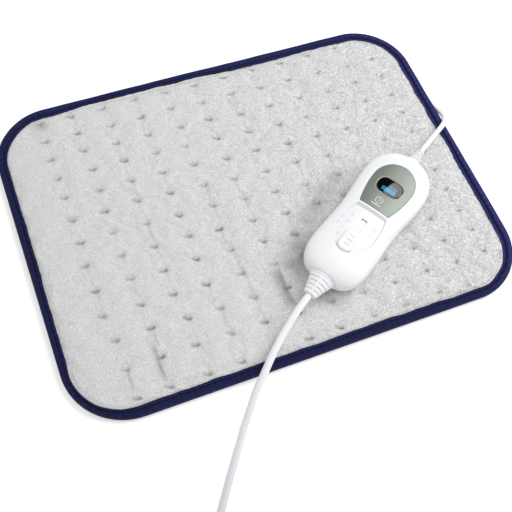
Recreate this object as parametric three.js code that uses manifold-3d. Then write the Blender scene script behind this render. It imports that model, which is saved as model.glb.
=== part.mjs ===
// Heating pad with a hand-held controller: a quilted plush pad with a bound edge, a slide-switch
// controller lying on it, the short lead between them and the mains lead, put away in a coil.
// Millimetres, +Z up. The origin is the middle of the pad's underside, +X along its long side.
import * as THREE from 'three';
import { mergeGeometries, mergeVertices } from 'three/addons/utils/BufferGeometryUtils.js';
import Module from 'manifold-3d';

const wasm = await Module();
wasm.setup();

// Pad outline and its bound edge.
const PAD_LENGTH = 400;
const PAD_WIDTH = 300;
const PAD_CORNER_RADIUS = 52;
const BINDING_WIDTH = 10;
const BINDING_HEIGHT = 7.6;
const TAPE_THICKNESS = 1.2;
const SEAM_ALLOWANCE = 8;
const CORNER_STEPS = 4;

// Pad layers, from the floor up. The cover is thin at a tack and swells between the tacks.
const LAYER_GAP = 0.3;
const BACKING_THICKNESS = 1;
const LOWER_WADDING = 1.7;
const CARRIER_THICKNESS = 0.6;
const UPPER_WADDING = 3;
const COVER_AT_TACK = 0.8;
const PUFF_RISE = 3.8;
const COVER_EDGE_WIDTH = 16;
const WADDING_INSET = 13;

// The cover's rise at its edge: shares of the edge's width, and of the rise between tacks.
const COVER_CROWN = [[0, 0.47], [0.25, 0.74], [0.6, 0.92], [1, 1]];

// Tacks that sew the layers together, in rows and columns, and the heating wire between the rows.
// The rows drift back across the middle of the pad, up to the column where they lie straight.
const TACK_PITCH_X = 29;
const TACK_PITCH_Y = 22.4;
const TACK_MARGIN_X = 40;
const TACK_MARGIN_Y = 15;
const TACK_GRID_CENTRE = [4.5, -1.75];
const TACK_HOLLOW = [6.4, 5];
const ROW_DRIFT = 7;
const STRAIGHT_COLUMN = 7;
const WIRE_DIAMETER = 1.8;
const WIRE_CHANNEL_WIDTH = 2.6;
const WIRE_BEND_STEPS = 6;
const WIRE_MARGIN = 13.6;
const WIRE_RETURN_OFFSET = 20;
const WIRE_LEAD_IN = 15.6;
const WIRE_SIDES = 6;

// Moulded anchor in the seam, where the lead leaves the pad.
const ANCHOR_INSET = 5.6;
const ANCHOR_FROM_BACK = 86;
const ANCHOR_HEADING = THREE.MathUtils.degToRad(-72);
const ANCHOR_NOSE = [7.5, 16];
const ANCHOR_BODY = [14, 22];
const ANCHOR_NOTCH = 4;

// Controller housing, in its own frame: x across, y towards the pad lead, z up from the parting.
const CONTROLLER_CENTRE = [79.24, -58.06];
const CONTROLLER_HEADING = THREE.MathUtils.degToRad(32.4);
const HOUSING_HALF_LENGTH = 70;
const HOUSING_END_FLAT = 1.5;
const SHOULDER = 38;
const WAIST = -6;
const HEAD_WIDTH = 60;
const WAIST_WIDTH = 54.4;
const TAIL_WIDTH = 56.4;
const UPPER_HEIGHT = 14;
const LOWER_DEPTH = 11;
const LOWER_ROUNDING = 1;
const UPPER_SQUARENESS = 2.6;
const LOWER_SQUARENESS = 3.2;
const TAIL_ROUNDNESS = 3;
const HEAD_ROUNDNESS = 2.4;
const HEIGHT_ROUNDNESS = 4;
const HOUSING_STATIONS = 17;
const UPPER_ARCH_STEPS = 12;
const LOWER_ARCH_STEPS = 10;
const UPPER_WALL = 2.6;
const LOWER_WALL = 2.4;
const CLEARANCE = 0.3;

// Display plate, its window and the recessed panel of the slide switch.
const BEZEL_BOTTOM = 3.3;
const BEZEL_SHOULDER = 34.5;
const BEZEL_TOP = 55;
const BEZEL_FOOT_WIDTH = 28.5;
const BEZEL_WIDTH = 38.4;
const BEZEL_THICKNESS = 1.4;
const WINDOW_CENTRE = 29;
const WINDOW_SIZE = [24, 16];
const WINDOW_CORNER = 7.5;
const WINDOW_LEDGE = 1.5;
const LIGHT_BOX_CELLS = 2;
const LIGHT_BOX_WALL = 1;
const PANEL_TOP = 1.6;
const PANEL_TOP_WIDTH = 28.5;
const PANEL_WIDTH = 35.4;
const PANEL_WIDEST = -25;
const PANEL_BOTTOM = -47;
const PANEL_END_REACH = 10;
const PANEL_DEPTH = 1.2;

// Slide knob, its stem and what moves with it.
const KNOB_REST = -35.4;
const KNOB_TRAVEL = 22;
const KNOB_SIZE = [14, 22];
const KNOB_HEIGHT = 2.6;
const KNOB_ROUNDING = 1.2;
const KNOB_RIDGES = 3;
const KNOB_RIDGE_PITCH = 4.7;
const KNOB_RIDGE = [9, 1.2, 0.4];
const STEM = [5.2, 5.2];
const SHUTTER_WIDTH = 9;
const SHUTTER_THICKNESS = 0.8;
const SHUTTER_OVERLAP = 0.6;
const SWITCH_HEIGHT = 7;
const SWITCH_WALL = 1.6;
const SLIDER_BLOCK = [6, 8, 4.4];

// Circuit board, screws and posts.
const BOARD_WIDTH = 42;
const BOARD_END_MARGIN = 15;
const BOARD_THICKNESS = 1.6;
const BOARD_CENTRE = -1;
const BOARD_TOP = -2.4;
const BOARD_CORNER = 6;
const TAIL_POSTS = { across: 17, inset: 21 };
const HEAD_POSTS = { across: 19, inset: 25 };
const POST_DIAMETER = 7;
const SHOULDER_DIAMETER = 9.6;
const SCREW_DIAMETER = 2.9;
const SCREW_HEAD = [5.8, 2.2];
const SCREW_RECESS = 2.5;
const SCREW_GRIP = 8;
const PILOT_RUN_OUT = 1;

// Electrical parts on the board: the middle in plan, then width, length and height.
const CONTROL_CHIP = { at: [11, 8], size: [6, 10, 1.8] };
const POWER_TRIAC = { at: [-14, -18], size: [10, 15, 4.5] };
const SUPPRESSION_CAPACITOR = { at: [-14, 8], size: [7, 17, 9] };
const DROPPER_CAPACITOR = { at: [15, 27], size: [7, 14, 8] };
const MAINS_FUSE = { at: [13, -22], diameter: 5.2, length: 20 };
const SMOOTHING_CAPACITOR = { at: [-15, 27], diameter: 7, length: 11 };
const TERMINAL = { width: 14, length: 9, height: 8, inset: 13 };

// Cords, their strain reliefs and the plug.
const LEAD_DIAMETER = 4.6;
const MAINS_DIAMETER = 6;
const CORD_SIDES = 10;
const FACE_GAP = 0.3;
const LEAD_STEPS = 20;
const MAINS_STEPS = 24;
const MAINS_BOOT = {
  base: 24.6, tip: 11.8, neck: 14, flange: 18, length: 20, flatten: 0.75, ribs: 5, groove: 0.9,
};
const LEAD_BOOT = {
  base: 16, tip: 7.6, neck: 8, flange: 12, length: 18.5, flatten: 0.9, ribs: 4, groove: 0.5,
};
const BOOT_FLANGE_THICKNESS = 2;
const BOOT_SIDES = 14;
const CORE_DIAMETER = 2.2;
const CORE_PITCH = 4;
const COIL_INNER_RADIUS = 24.5;
const COIL_PITCH = 6.6;
const COIL_TURNS = 7.36;
const COIL_STEPS_PER_TURN = 24;
const COIL_SIDES = 6;
const TAIL_LENGTH = 42;
const TAIL_STEPS = 8;
const TAIL_LEVEL_SHARE = 0.1;
const TIE_WIDTH = 10;
const TIE_THICKNESS = 0.9;
const TIE_ANGLE = THREE.MathUtils.degToRad(30);
const PLUG_SIZE = [35.3, 36, 13.7];
const PLUG_BEVEL = 2;
const PLUG_BOOT = { base: 12, tip: 8, length: 18, ribs: 3, groove: 0.5 };
const PIN_DIAMETER = 4;
const PIN_TIP = 1;
const PIN_LENGTH = 19;
const PIN_SPACING = 18.6;
const PIN_SEAT = 6;

// The plug along its length, as shares of its length, width and height.
const PLUG_STATIONS = [
  [0, 0.42, 0.86], [0.12, 0.5, 0.96], [0.45, 0.86, 1], [0.62, 1, 1], [0.94, 1, 1], [1, 0.95, 0.92],
];

// The two cords: straight out of each end, and through these points between the ends.
const LEAD_STRAIGHT = 20;
const LEAD_EXIT_STRAIGHT = 4.4;
const MAINS_EXIT_STRAIGHT = 6.2;
const LEAD_ROUTE = [
  [202.7, 38.8, 4], [203.2, 33.5, 5.2], [202.4, 28.5, 7.4], [200.2, 23.4, 10], [196.4, 18.4, 12.6],
  [191, 13.8, 14.6], [184, 9.2, 16], [176, 4, 17.4], [168, -1.2, 19.5], [160.6, -6.1, 21.9],
];
const MAINS_ROUTE = [
  [-12.5, -116.7, 22.3], [-20, -122.4, 20.2], [-30.3, -130.7, 17.8], [-42.2, -141.6, 16.2],
  [-54.5, -153.9, 14.2], [-63.8, -163.2, 11], [-72.6, -173.7, 7.2], [-80.1, -182.9, 4.4],
  [-88.3, -194, 3.2], [-96.4, -204.6, 3.1], [-104.6, -215.7, 3.1], [-112, -226, 3.1],
  [-119.3, -236.1, 3.1], [-127, -246.8, 3.1], [-135, -257.8, 3.3], [-142, -267.5, 3.8],
];
const COIL_ENTRY = [-149, -277.3];

// Places that follow from the pad's outline and the housing's length.
const TACK_COLUMNS = 1 + Math.floor((PAD_LENGTH - 2 * TACK_MARGIN_X) / TACK_PITCH_X);
const TACK_ROWS = 1 + Math.floor((PAD_WIDTH - 2 * TACK_MARGIN_Y) / TACK_PITCH_Y);
const WIRE_RUNS = 2 * Math.floor((TACK_ROWS - 1) / 2);
const ANCHOR_POINT = [PAD_LENGTH / 2 - ANCHOR_INSET, PAD_WIDTH / 2 - ANCHOR_FROM_BACK];
const HOUSING_NOMINAL_END = HOUSING_HALF_LENGTH + HOUSING_END_FLAT;
const POSTS = [-1, 1].flatMap((side) => [
  [side * TAIL_POSTS.across, TAIL_POSTS.inset - HOUSING_HALF_LENGTH],
  [side * HEAD_POSTS.across, HOUSING_HALF_LENGTH - HEAD_POSTS.inset],
]);

// Heights that the layers add up to.
const LOWER_WADDING_BOTTOM = BACKING_THICKNESS + LAYER_GAP;
const CARRIER_BOTTOM = LOWER_WADDING_BOTTOM + LOWER_WADDING + LAYER_GAP;
const UPPER_WADDING_BOTTOM = CARRIER_BOTTOM + CARRIER_THICKNESS + LAYER_GAP;
const UPPER_WADDING_TOP = UPPER_WADDING_BOTTOM + UPPER_WADDING;
const COVER_BOTTOM = UPPER_WADDING_TOP + LAYER_GAP;
const COVER_TOP = COVER_BOTTOM + COVER_AT_TACK + PUFF_RISE;
const WIRE_AXIS = UPPER_WADDING_BOTTOM + WIRE_DIAMETER / 2;
const SLOT_BOTTOM = TAPE_THICKNESS + LAYER_GAP;
const SLOT_TOP = BINDING_HEIGHT - TAPE_THICKNESS - LAYER_GAP;
const PARTING_HEIGHT = COVER_TOP + LAYER_GAP + LOWER_DEPTH;
const SEAM_MIDDLE = BINDING_HEIGHT / 2;
const COIL_HEIGHT = TIE_THICKNESS + CLEARANCE + MAINS_DIAMETER / 2;

// Heights inside the housing that the moving parts and the board share, and the knob's mid-travel.
const PANEL_FLOOR = UPPER_HEIGHT - PANEL_DEPTH;
const CEILING = UPPER_HEIGHT - UPPER_WALL;
const FLOOR = LOWER_WALL - LOWER_DEPTH;
const BOARD_BOTTOM = BOARD_TOP - BOARD_THICKNESS;
const PART_SEAT = BOARD_TOP + CLEARANCE;
const SHUTTER_TOP = CEILING - CLEARANCE;
const SHUTTER_REACH = KNOB_TRAVEL + STEM[1] / 2 + SHUTTER_OVERLAP;
const SWITCH_TOP = PART_SEAT + SWITCH_HEIGHT;
const CHANNEL_FLOOR = PART_SEAT + SWITCH_WALL;
const SLIDER_TOP = SWITCH_TOP + CLEARANCE;
const KNOB_MIDDLE = KNOB_REST + KNOB_TRAVEL / 2;

const material = (color, roughness, metalness = 0) =>
  new THREE.MeshStandardMaterial({ color, roughness, metalness });
const PLUSH = material(0xd6d6d6, 0.95);
const BACKING = material(0xc9cacc, 0.9);
const TAPE = material(0x2a2b60, 0.8);
const WADDING = material(0xf1f0ea, 1);
const CARRIER = material(0xe4e0d0, 0.9);
const WIRE = material(0xd8cfc0, 0.6);
const PVC = material(0xeceded, 0.5);
const HOUSING = material(0xf2f3f4, 0.3);
const BEZEL = material(0x8f9a8b, 0.4, 0.5);
const WINDOW = material(0x0b0d10, 0.1);
const WHITE_ABS = material(0xf4f4f2, 0.5);
const BLACK_PLASTIC = material(0x1c1c1e, 0.5);
const BOARD_GREEN = material(0x2f6b3c, 0.5);
const BLUE_FILM = material(0x2f57a0, 0.4);
const YELLOW_FILM = material(0xd9b13a, 0.5);
const FUSE_GLASS = material(0xd9dcdc, 0.2);
const STEEL = material(0xb9bcc0, 0.35, 1);
const NICKEL = material(0xcfcfca, 0.25, 1);
const CORE_BROWN = material(0x6b4228, 0.5);
const CORE_BLUE = material(0x2d62ad, 0.5);
const TIE_BLACK = material(0x222224, 0.8);

// A closed geometry as a solid that can be joined and cut, and back again.
function solid(geometry) {
  const bare = geometry.clone();
  bare.deleteAttribute('normal');
  bare.deleteAttribute('uv');
  const merged = mergeVertices(bare, 1e-4);
  return new wasm.Manifold(new wasm.Mesh({
    numProp: 3,
    vertProperties: new Float32Array(merged.attributes.position.array),
    triVerts: new Uint32Array(merged.index.array),
  }));
}

function geometryOf(body) {
  const mesh = body.getMesh();
  const geometry = new THREE.BufferGeometry();
  geometry.setAttribute('position', new THREE.BufferAttribute(mesh.vertProperties, 3));
  geometry.setIndex(new THREE.BufferAttribute(mesh.triVerts, 1));
  geometry.computeVertexNormals();
  return geometry;
}

function part(name, shape, finish, parent) {
  const mesh = new THREE.Mesh(shape.isBufferGeometry ? shape : geometryOf(shape), finish);
  mesh.name = name;
  parent.add(mesh);
  return mesh;
}

// A closed body through rings of points, with flat ends, or joined end to end as a frame.
function loft(rings, joined = false) {
  const points = rings.flat();
  const around = rings[0].length;
  const triangles = [];
  const spans = joined ? rings.length : rings.length - 1;
  for (let i = 0; i < spans; i++) {
    for (let j = 0; j < around; j++) {
      const a = i * around + j;
      const b = i * around + (j + 1) % around;
      const c = ((i + 1) % rings.length) * around + j;
      const d = ((i + 1) % rings.length) * around + (j + 1) % around;
      triangles.push(a, b, c, b, d, c);
    }
  }
  if (!joined) {
    const last = (rings.length - 1) * around;
    for (let j = 1; j < around - 1; j++) {
      triangles.push(0, j + 1, j, last, last + j, last + j + 1);
    }
  }
  const volume = signedVolume(points, triangles);
  const geometry = new THREE.BufferGeometry().setFromPoints(points);
  geometry.setIndex(volume > 0 ? triangles : triangles.reverse());
  geometry.computeVertexNormals();
  return geometry;
}

function signedVolume(points, triangles) {
  let volume = 0;
  for (let i = 0; i < triangles.length; i += 3) {
    const [a, b, c] = [0, 1, 2].map((k) => points[triangles[i + k]]);
    volume += a.dot(new THREE.Vector3().crossVectors(b, c)) / 6;
  }
  return volume;
}

// Plain bodies: a block about a middle in plan, an upright prism or post, and a rod along y.
const block = (x, y, [width, length], z0, z1) =>
  new THREE.BoxGeometry(width, length, z1 - z0).translate(x, y, (z0 + z1) / 2);

const grown = ([width, length], by) => [width + 2 * by, length + 2 * by];

const prism = (shape, z0, z1, curveSegments = 6) =>
  new THREE.ExtrudeGeometry(shape, { depth: z1 - z0, bevelEnabled: false, curveSegments })
    .translate(0, 0, z0);

const rod = (x, y, z, diameter, length, sides = 12) =>
  new THREE.CylinderGeometry(diameter / 2, diameter / 2, length, sides).translate(x, y, z);

const post = (x, y, diameter, z0, z1) =>
  rod(0, 0, 0, diameter, z1 - z0).rotateX(Math.PI / 2).translate(x, y, (z0 + z1) / 2);

function roundedRectangle(width, height, radius) {
  const [x, y] = [width / 2, height / 2];
  const shape = new THREE.Shape();
  shape.moveTo(x, radius - y);
  shape.absarc(x - radius, y - radius, radius, 0, Math.PI / 2);
  shape.absarc(radius - x, y - radius, radius, Math.PI / 2, Math.PI);
  shape.absarc(radius - x, radius - y, radius, Math.PI, Math.PI * 1.5);
  shape.absarc(x - radius, radius - y, radius, Math.PI * 1.5, Math.PI * 2);
  return shape;
}

// Tubes: the route's listed points become the tube's rings, so a bend can be finer than a run.
class Route extends THREE.Curve {
  constructor(points) {
    super();
    this.points = points;
  }

  getPoint(t, target = new THREE.Vector3()) {
    const at = t * (this.points.length - 1);
    const i = Math.min(Math.floor(at), this.points.length - 2);
    return target.lerpVectors(this.points[i], this.points[i + 1], at - i);
  }

  getPointAt(t, target) {
    return this.getPoint(t, target);
  }

  getTangentAt(t, target = new THREE.Vector3()) {
    const i = Math.round(t * (this.points.length - 1));
    const before = this.points[Math.max(i - 1, 0)];
    const after = this.points[Math.min(i + 1, this.points.length - 1)];
    return target.subVectors(after, before).normalize();
  }
}

function tube(points, diameter, sides) {
  const section = new THREE.Shape(Array.from({ length: sides }, (_, i) => {
    const angle = 2 * Math.PI * (i + 0.5) / sides;
    return new THREE.Vector2(Math.cos(angle), Math.sin(angle)).multiplyScalar(diameter / 2);
  }));
  return new THREE.ExtrudeGeometry(section, {
    steps: points.length - 1, extrudePath: new Route(points), bevelEnabled: false,
  });
}

const smoothRoute = (points, steps) =>
  new THREE.CatmullRomCurve3(points.map((p) => new THREE.Vector3(...p))).getSpacedPoints(steps);

// The pad's outline, drawn in from its edge.
const padOutline = (inset) => roundedRectangle(
  PAD_LENGTH - 2 * inset, PAD_WIDTH - 2 * inset, PAD_CORNER_RADIUS - inset);
const padSlab = (inset, z0, z1) => solid(prism(padOutline(inset), z0, z1, CORNER_STEPS));

function outlinePoints(inset) {
  const points = padOutline(inset).getPoints(CORNER_STEPS);
  return points[0].equals(points[points.length - 1]) ? points.slice(0, -1) : points;
}

// The anchor's outline in plan, grown by a clearance: a nose in the seam and a wider body behind it.
function anchorOutline(grow) {
  const [noseWidth, noseLength] = ANCHOR_NOSE;
  const [bodyWidth, bodyLength] = ANCHOR_BODY;
  const nose = noseWidth / 2 + grow;
  const body = bodyWidth / 2 + grow;
  const end = noseLength + bodyLength + grow;
  return new THREE.Shape([
    [nose, -grow], [nose, noseLength - grow], [body, noseLength - grow], [body, end],
    [-body, end], [-body, noseLength - grow], [-nose, noseLength - grow], [-nose, -grow],
  ].map(([x, y]) => new THREE.Vector2(x, y)));
}

function anchorBlock(grow) {
  return prism(anchorOutline(grow), SLOT_BOTTOM - grow, SLOT_TOP + grow)
    .rotateZ(ANCHOR_HEADING + Math.PI / 2).translate(...ANCHOR_POINT, 0);
}

// The straight run of the lead through the seam and the tape, with its clearance.
const leadOut = (reach) => [
  ANCHOR_POINT[0] + reach * Math.cos(ANCHOR_HEADING),
  ANCHOR_POINT[1] + reach * Math.sin(ANCHOR_HEADING), SEAM_MIDDLE,
];
function leadPassage() {
  const run = [0, ANCHOR_NOSE[1] + BINDING_WIDTH].map((reach) => new THREE.Vector3(...leadOut(reach)));
  return solid(tube(run, LEAD_DIAMETER + 3 * CLEARANCE, CORD_SIDES));
}

function edgeBinding() {
  const roll = BINDING_HEIGHT / 2;
  const rollPoint = (angle) => [roll * (1 - Math.cos(angle)), roll * (1 + Math.sin(angle))];
  const outside = [-90, -60, -30, 0, 30, 60, 90].map((a) => rollPoint(THREE.MathUtils.degToRad(a)));
  const section = [
    [BINDING_WIDTH, 0], ...outside, [BINDING_WIDTH, BINDING_HEIGHT],
    [BINDING_WIDTH, BINDING_HEIGHT - TAPE_THICKNESS], [TAPE_THICKNESS, BINDING_HEIGHT - TAPE_THICKNESS],
    [TAPE_THICKNESS, TAPE_THICKNESS], [BINDING_WIDTH, TAPE_THICKNESS],
  ];
  const insetPoints = section.map(([inset]) => outlinePoints(inset));
  const rings = insetPoints[0].map((_, i) => section.map(
    ([, z], j) => new THREE.Vector3(insetPoints[j][i].x, insetPoints[j][i].y, z)));
  return solid(loft(rings, true)).subtract(leadPassage());
}

// A cover's seam allowance, cut away round the anchor and the lead.
function seamNotched(rim) {
  const width = ANCHOR_BODY[0] + 2 * ANCHOR_NOTCH;
  const end = ANCHOR_NOSE[1] + ANCHOR_BODY[1] + ANCHOR_NOTCH;
  const notch = block(0, (end - ANCHOR_NOSE[1]) / 2, [width, end + ANCHOR_NOSE[1]], 0, COVER_BOTTOM)
    .rotateZ(ANCHOR_HEADING + Math.PI / 2).translate(...ANCHOR_POINT, 0);
  return rim.subtract(solid(notch)).subtract(leadPassage());
}

function bottomCover() {
  const rim = padSlab(BINDING_WIDTH - SEAM_ALLOWANCE, SLOT_BOTTOM, SLOT_BOTTOM + BACKING_THICKNESS);
  const face = padSlab(BINDING_WIDTH + LAYER_GAP, 0, SLOT_BOTTOM + BACKING_THICKNESS);
  const hollow = padSlab(BINDING_WIDTH + LAYER_GAP + BACKING_THICKNESS, BACKING_THICKNESS, COVER_TOP);
  return seamNotched(rim).add(face).subtract(hollow).subtract(solid(anchorBlock(CLEARANCE)));
}

function topCover() {
  const inset = BINDING_WIDTH + LAYER_GAP;
  const rim = padSlab(BINDING_WIDTH - SEAM_ALLOWANCE, SLOT_TOP - BACKING_THICKNESS, SLOT_TOP);
  const skirt = padSlab(inset, SLOT_TOP - BACKING_THICKNESS, COVER_BOTTOM + COVER_AT_TACK / 2);
  const hollow = padSlab(inset + BACKING_THICKNESS, 0, COVER_BOTTOM);
  const quilt = solid(crownedSlab(inset)).subtract(solid(tackHollows()));
  return quilt.add(seamNotched(rim).add(skirt).subtract(hollow)).subtract(solid(anchorBlock(CLEARANCE)));
}

// The swollen cover, drawn down towards the bound edge.
function crownedSlab(inset) {
  const ring = (reach, z) => outlinePoints(inset + reach).map(({ x, y }) => new THREE.Vector3(x, y, z));
  const crown = COVER_CROWN.map(([reach, rise]) => ring(
    reach * COVER_EDGE_WIDTH, COVER_BOTTOM + COVER_AT_TACK + rise * PUFF_RISE));
  return loft([ring(0, COVER_BOTTOM), ...crown]);
}

// A tack's place, and how far it lies in from the pad's edge.
function tackPlace(column, row) {
  const middle = Math.sin(Math.PI * row / (TACK_ROWS - 1)) ** 2;
  return [
    TACK_GRID_CENTRE[0] + (column - (TACK_COLUMNS - 1) / 2) * TACK_PITCH_X,
    TACK_GRID_CENTRE[1] + (row - (TACK_ROWS - 1) / 2) * TACK_PITCH_Y
      + ROW_DRIFT * middle * (1 - column / STRAIGHT_COLUMN),
  ];
}

function fromEdge([x, y]) {
  const [sideX, sideY] = [PAD_LENGTH / 2 - Math.abs(x), PAD_WIDTH / 2 - Math.abs(y)];
  if (sideX > PAD_CORNER_RADIUS || sideY > PAD_CORNER_RADIUS) {
    return Math.min(sideX, sideY);
  }
  return PAD_CORNER_RADIUS - Math.hypot(PAD_CORNER_RADIUS - sideX, PAD_CORNER_RADIUS - sideY);
}

// A four-sided hollow at each tack that is clear of the drawn-down edge.
function tackHollows() {
  const overcut = 1.25;
  const height = overcut * PUFF_RISE;
  const [reachX, reachY] = TACK_HOLLOW;
  const hollow = new THREE.ConeGeometry(overcut, height, 4).rotateX(-Math.PI / 2)
    .scale(reachX, reachY, 1).translate(0, 0, COVER_BOTTOM + COVER_AT_TACK + height / 2);
  const places = Array.from({ length: TACK_COLUMNS * TACK_ROWS }, (_, i) => tackPlace(
    i % TACK_COLUMNS, Math.floor(i / TACK_COLUMNS)));
  const clear = places.filter((place) => fromEdge(place) > BINDING_WIDTH + COVER_EDGE_WIDTH);
  return mergeGeometries(clear.map(([x, y]) => hollow.clone().translate(x, y, 0)));
}

// The heating wire: one run between each two rows of tacks, joined by half-round bends, with
// both ends at the anchor.
function wireRoute() {
  const bend = TACK_PITCH_Y / 2;
  const reach = (TACK_COLUMNS - 1) / 2 * TACK_PITCH_X;
  const [left, right] = [TACK_GRID_CENTRE[0] - reach, TACK_GRID_CENTRE[0] + reach - WIRE_MARGIN];
  const runHeight = (run) => TACK_GRID_CENTRE[1] + ((WIRE_RUNS - 1) / 2 - run) * TACK_PITCH_Y;
  const plan = [];
  const arc = (x, y, from, to, steps) => {
    for (let i = 0; i <= steps; i++) {
      const angle = from + (to - from) * i / steps;
      plan.push([x + bend * Math.cos(angle), y + bend * Math.sin(angle)]);
    }
  };
  for (let run = 0; run < WIRE_RUNS - 1; run++) {
    const middle = (runHeight(run) + runHeight(run + 1)) / 2;
    if (run % 2 === 0) {
      arc(left, middle, Math.PI / 2, Math.PI * 1.5, WIRE_BEND_STEPS);
    } else {
      arc(right, middle, Math.PI / 2, -Math.PI / 2, WIRE_BEND_STEPS);
    }
  }
  const inward = new THREE.Vector2(-Math.cos(ANCHOR_HEADING), -Math.sin(ANCHOR_HEADING));
  const across = new THREE.Vector2(-inward.y, inward.x);
  const anchor = new THREE.Vector2(...ANCHOR_POINT);
  const end = anchor.clone().addScaledVector(inward, ANCHOR_NOSE[1] + ANCHOR_BODY[1] + FACE_GAP);
  const start = end.clone().addScaledVector(inward, WIRE_DIAMETER * 2);
  const side = anchor.clone().addScaledVector(inward, ANCHOR_NOSE[1] + ANCHOR_BODY[1] / 2)
    .addScaledVector(across, ANCHOR_BODY[0] / 2 + FACE_GAP);
  const lead = side.clone().addScaledVector(across, WIRE_DIAMETER * 2);
  const returnX = right + WIRE_RETURN_OFFSET;
  const turnIn = [start.x - bend / 2, (start.y + runHeight(0)) / 2 + bend / 4];
  plan.unshift(end.toArray(), start.toArray(), turnIn, [start.x - WIRE_LEAD_IN, runHeight(0)]);
  const corner = runHeight(WIRE_RUNS - 1);
  arc(returnX - bend, corner + bend, -Math.PI / 2, 0, WIRE_BEND_STEPS / 2);
  plan.push([returnX, lead.y - bend], [(returnX + lead.x) / 2, lead.y - bend / 4]);
  plan.push(lead.toArray(), side.toArray());
  return plan.map(([x, y]) => new THREE.Vector3(x, y, WIRE_AXIS));
}

function upperWadding() {
  const channel = wireRoute().map((p) => p.setZ(UPPER_WADDING_BOTTOM));
  const groove = solid(squareTube(channel, WIRE_CHANNEL_WIDTH, WIRE_DIAMETER + LAYER_GAP));
  return padSlab(WADDING_INSET, UPPER_WADDING_BOTTOM, UPPER_WADDING_TOP)
    .subtract(groove).subtract(solid(anchorBlock(CLEARANCE)));
}

// A square-cornered channel that follows a level route, from just below it to a height above it.
function squareTube(points, width, height) {
  const rings = points.map((p, i) => {
    const before = points[Math.max(i - 1, 0)];
    const after = points[Math.min(i + 1, points.length - 1)];
    const along = new THREE.Vector3().subVectors(after, before).normalize();
    const across = new THREE.Vector3(-along.y, along.x, 0).multiplyScalar(width / 2);
    const reach = i === 0 || i === points.length - 1 ? width : 0;
    const at = p.clone().addScaledVector(along, i === 0 ? -reach : reach);
    return [[1, -1], [-1, -1], [-1, height], [1, height]].map(
      ([sideways, up]) => at.clone().addScaledVector(across, sideways).setZ(p.z + up));
  });
  return loft(rings);
}

function buildPad(group) {
  const anchorRoom = () => solid(anchorBlock(CLEARANCE));
  part('bottom_cover', bottomCover(), BACKING, group);
  part('lower_wadding', padSlab(WADDING_INSET, LOWER_WADDING_BOTTOM, LOWER_WADDING_BOTTOM + LOWER_WADDING)
    .subtract(anchorRoom()), WADDING, group);
  part('element_carrier', padSlab(WADDING_INSET, CARRIER_BOTTOM, CARRIER_BOTTOM + CARRIER_THICKNESS)
    .subtract(anchorRoom()), CARRIER, group);
  part('heating_wire', tube(wireRoute(), WIRE_DIAMETER, WIRE_SIDES), WIRE, group);
  part('upper_wadding', upperWadding(), WADDING, group);
  part('top_cover', topCover(), PLUSH, group);
  part('edge_binding', edgeBinding(), TAPE, group);
  part('lead_anchor', anchorBlock(0), PVC, group);
}

// The housing's outline narrows at the waist and rounds off at both ends.
const ease = (a, b, t) => a + (b - a) * (1 - Math.cos(Math.PI * Math.min(Math.max(t, 0), 1))) / 2;
const endFactor = (y, power, inset) => {
  const s = Math.max(Math.abs(y) - SHOULDER, 0) / (HOUSING_NOMINAL_END - inset - SHOULDER);
  return (1 - Math.min(s, 1) ** power) ** (1 / power);
};
function housingHalfWidth(y, inset) {
  const side = y < WAIST
    ? ease(WAIST_WIDTH, TAIL_WIDTH, (WAIST - y) / (WAIST + SHOULDER))
    : ease(WAIST_WIDTH, HEAD_WIDTH, (y - WAIST) / (SHOULDER - WAIST));
  return (side / 2 - inset) * endFactor(y, y < 0 ? TAIL_ROUNDNESS : HEAD_ROUNDNESS, inset);
}

// One half of the housing as a solid block, drawn in by an inset on every side but the parting.
function housingHalf(height, squareness, inset, drop, around) {
  const end = HOUSING_HALF_LENGTH - inset;
  const rings = Array.from({ length: HOUSING_STATIONS }, (_, i) => {
    const y = -end * Math.cos(Math.PI * i / (HOUSING_STATIONS - 1));
    const half = housingHalfWidth(y, inset);
    const rise = (Math.abs(height) - inset) * endFactor(y, HEIGHT_ROUNDNESS, inset) * Math.sign(height);
    const arch = Array.from({ length: around + 1 }, (_, j) => {
      const angle = Math.PI * j / around;
      const across = Math.sign(Math.cos(angle)) * Math.abs(Math.cos(angle)) ** (2 / squareness);
      const up = Math.max(Math.sin(angle), 0) ** (2 / squareness);
      return new THREE.Vector3(half * across, y, rise * up);
    });
    const base = -drop * Math.sign(height);
    return drop ? [arch[0].clone().setZ(base), ...arch, arch[around].clone().setZ(base)] : arch;
  });
  return loft(rings);
}

const upperBlock = (inset, drop = 0) =>
  solid(housingHalf(UPPER_HEIGHT, UPPER_SQUARENESS, inset, drop, UPPER_ARCH_STEPS));
const lowerBlock = (inset, drop, floor) =>
  solid(housingHalf(-LOWER_DEPTH - LOWER_ROUNDING, LOWER_SQUARENESS, inset, drop, LOWER_ARCH_STEPS))
    .intersect(solid(block(0, 0, [2 * HEAD_WIDTH, 4 * HOUSING_HALF_LENGTH], floor, LOWER_DEPTH)));

function bezelShape(grow) {
  const foot = BEZEL_FOOT_WIDTH / 2 + grow;
  const half = BEZEL_WIDTH / 2 + grow;
  const shape = new THREE.Shape();
  shape.moveTo(-foot, BEZEL_BOTTOM - grow);
  shape.lineTo(foot, BEZEL_BOTTOM - grow);
  shape.quadraticCurveTo(half, (BEZEL_BOTTOM + BEZEL_SHOULDER) / 2, half, BEZEL_SHOULDER);
  shape.absellipse(0, BEZEL_SHOULDER, half, BEZEL_TOP - BEZEL_SHOULDER + grow, 0, Math.PI);
  shape.quadraticCurveTo(-half, (BEZEL_BOTTOM + BEZEL_SHOULDER) / 2, -foot, BEZEL_BOTTOM - grow);
  return shape;
}

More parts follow.
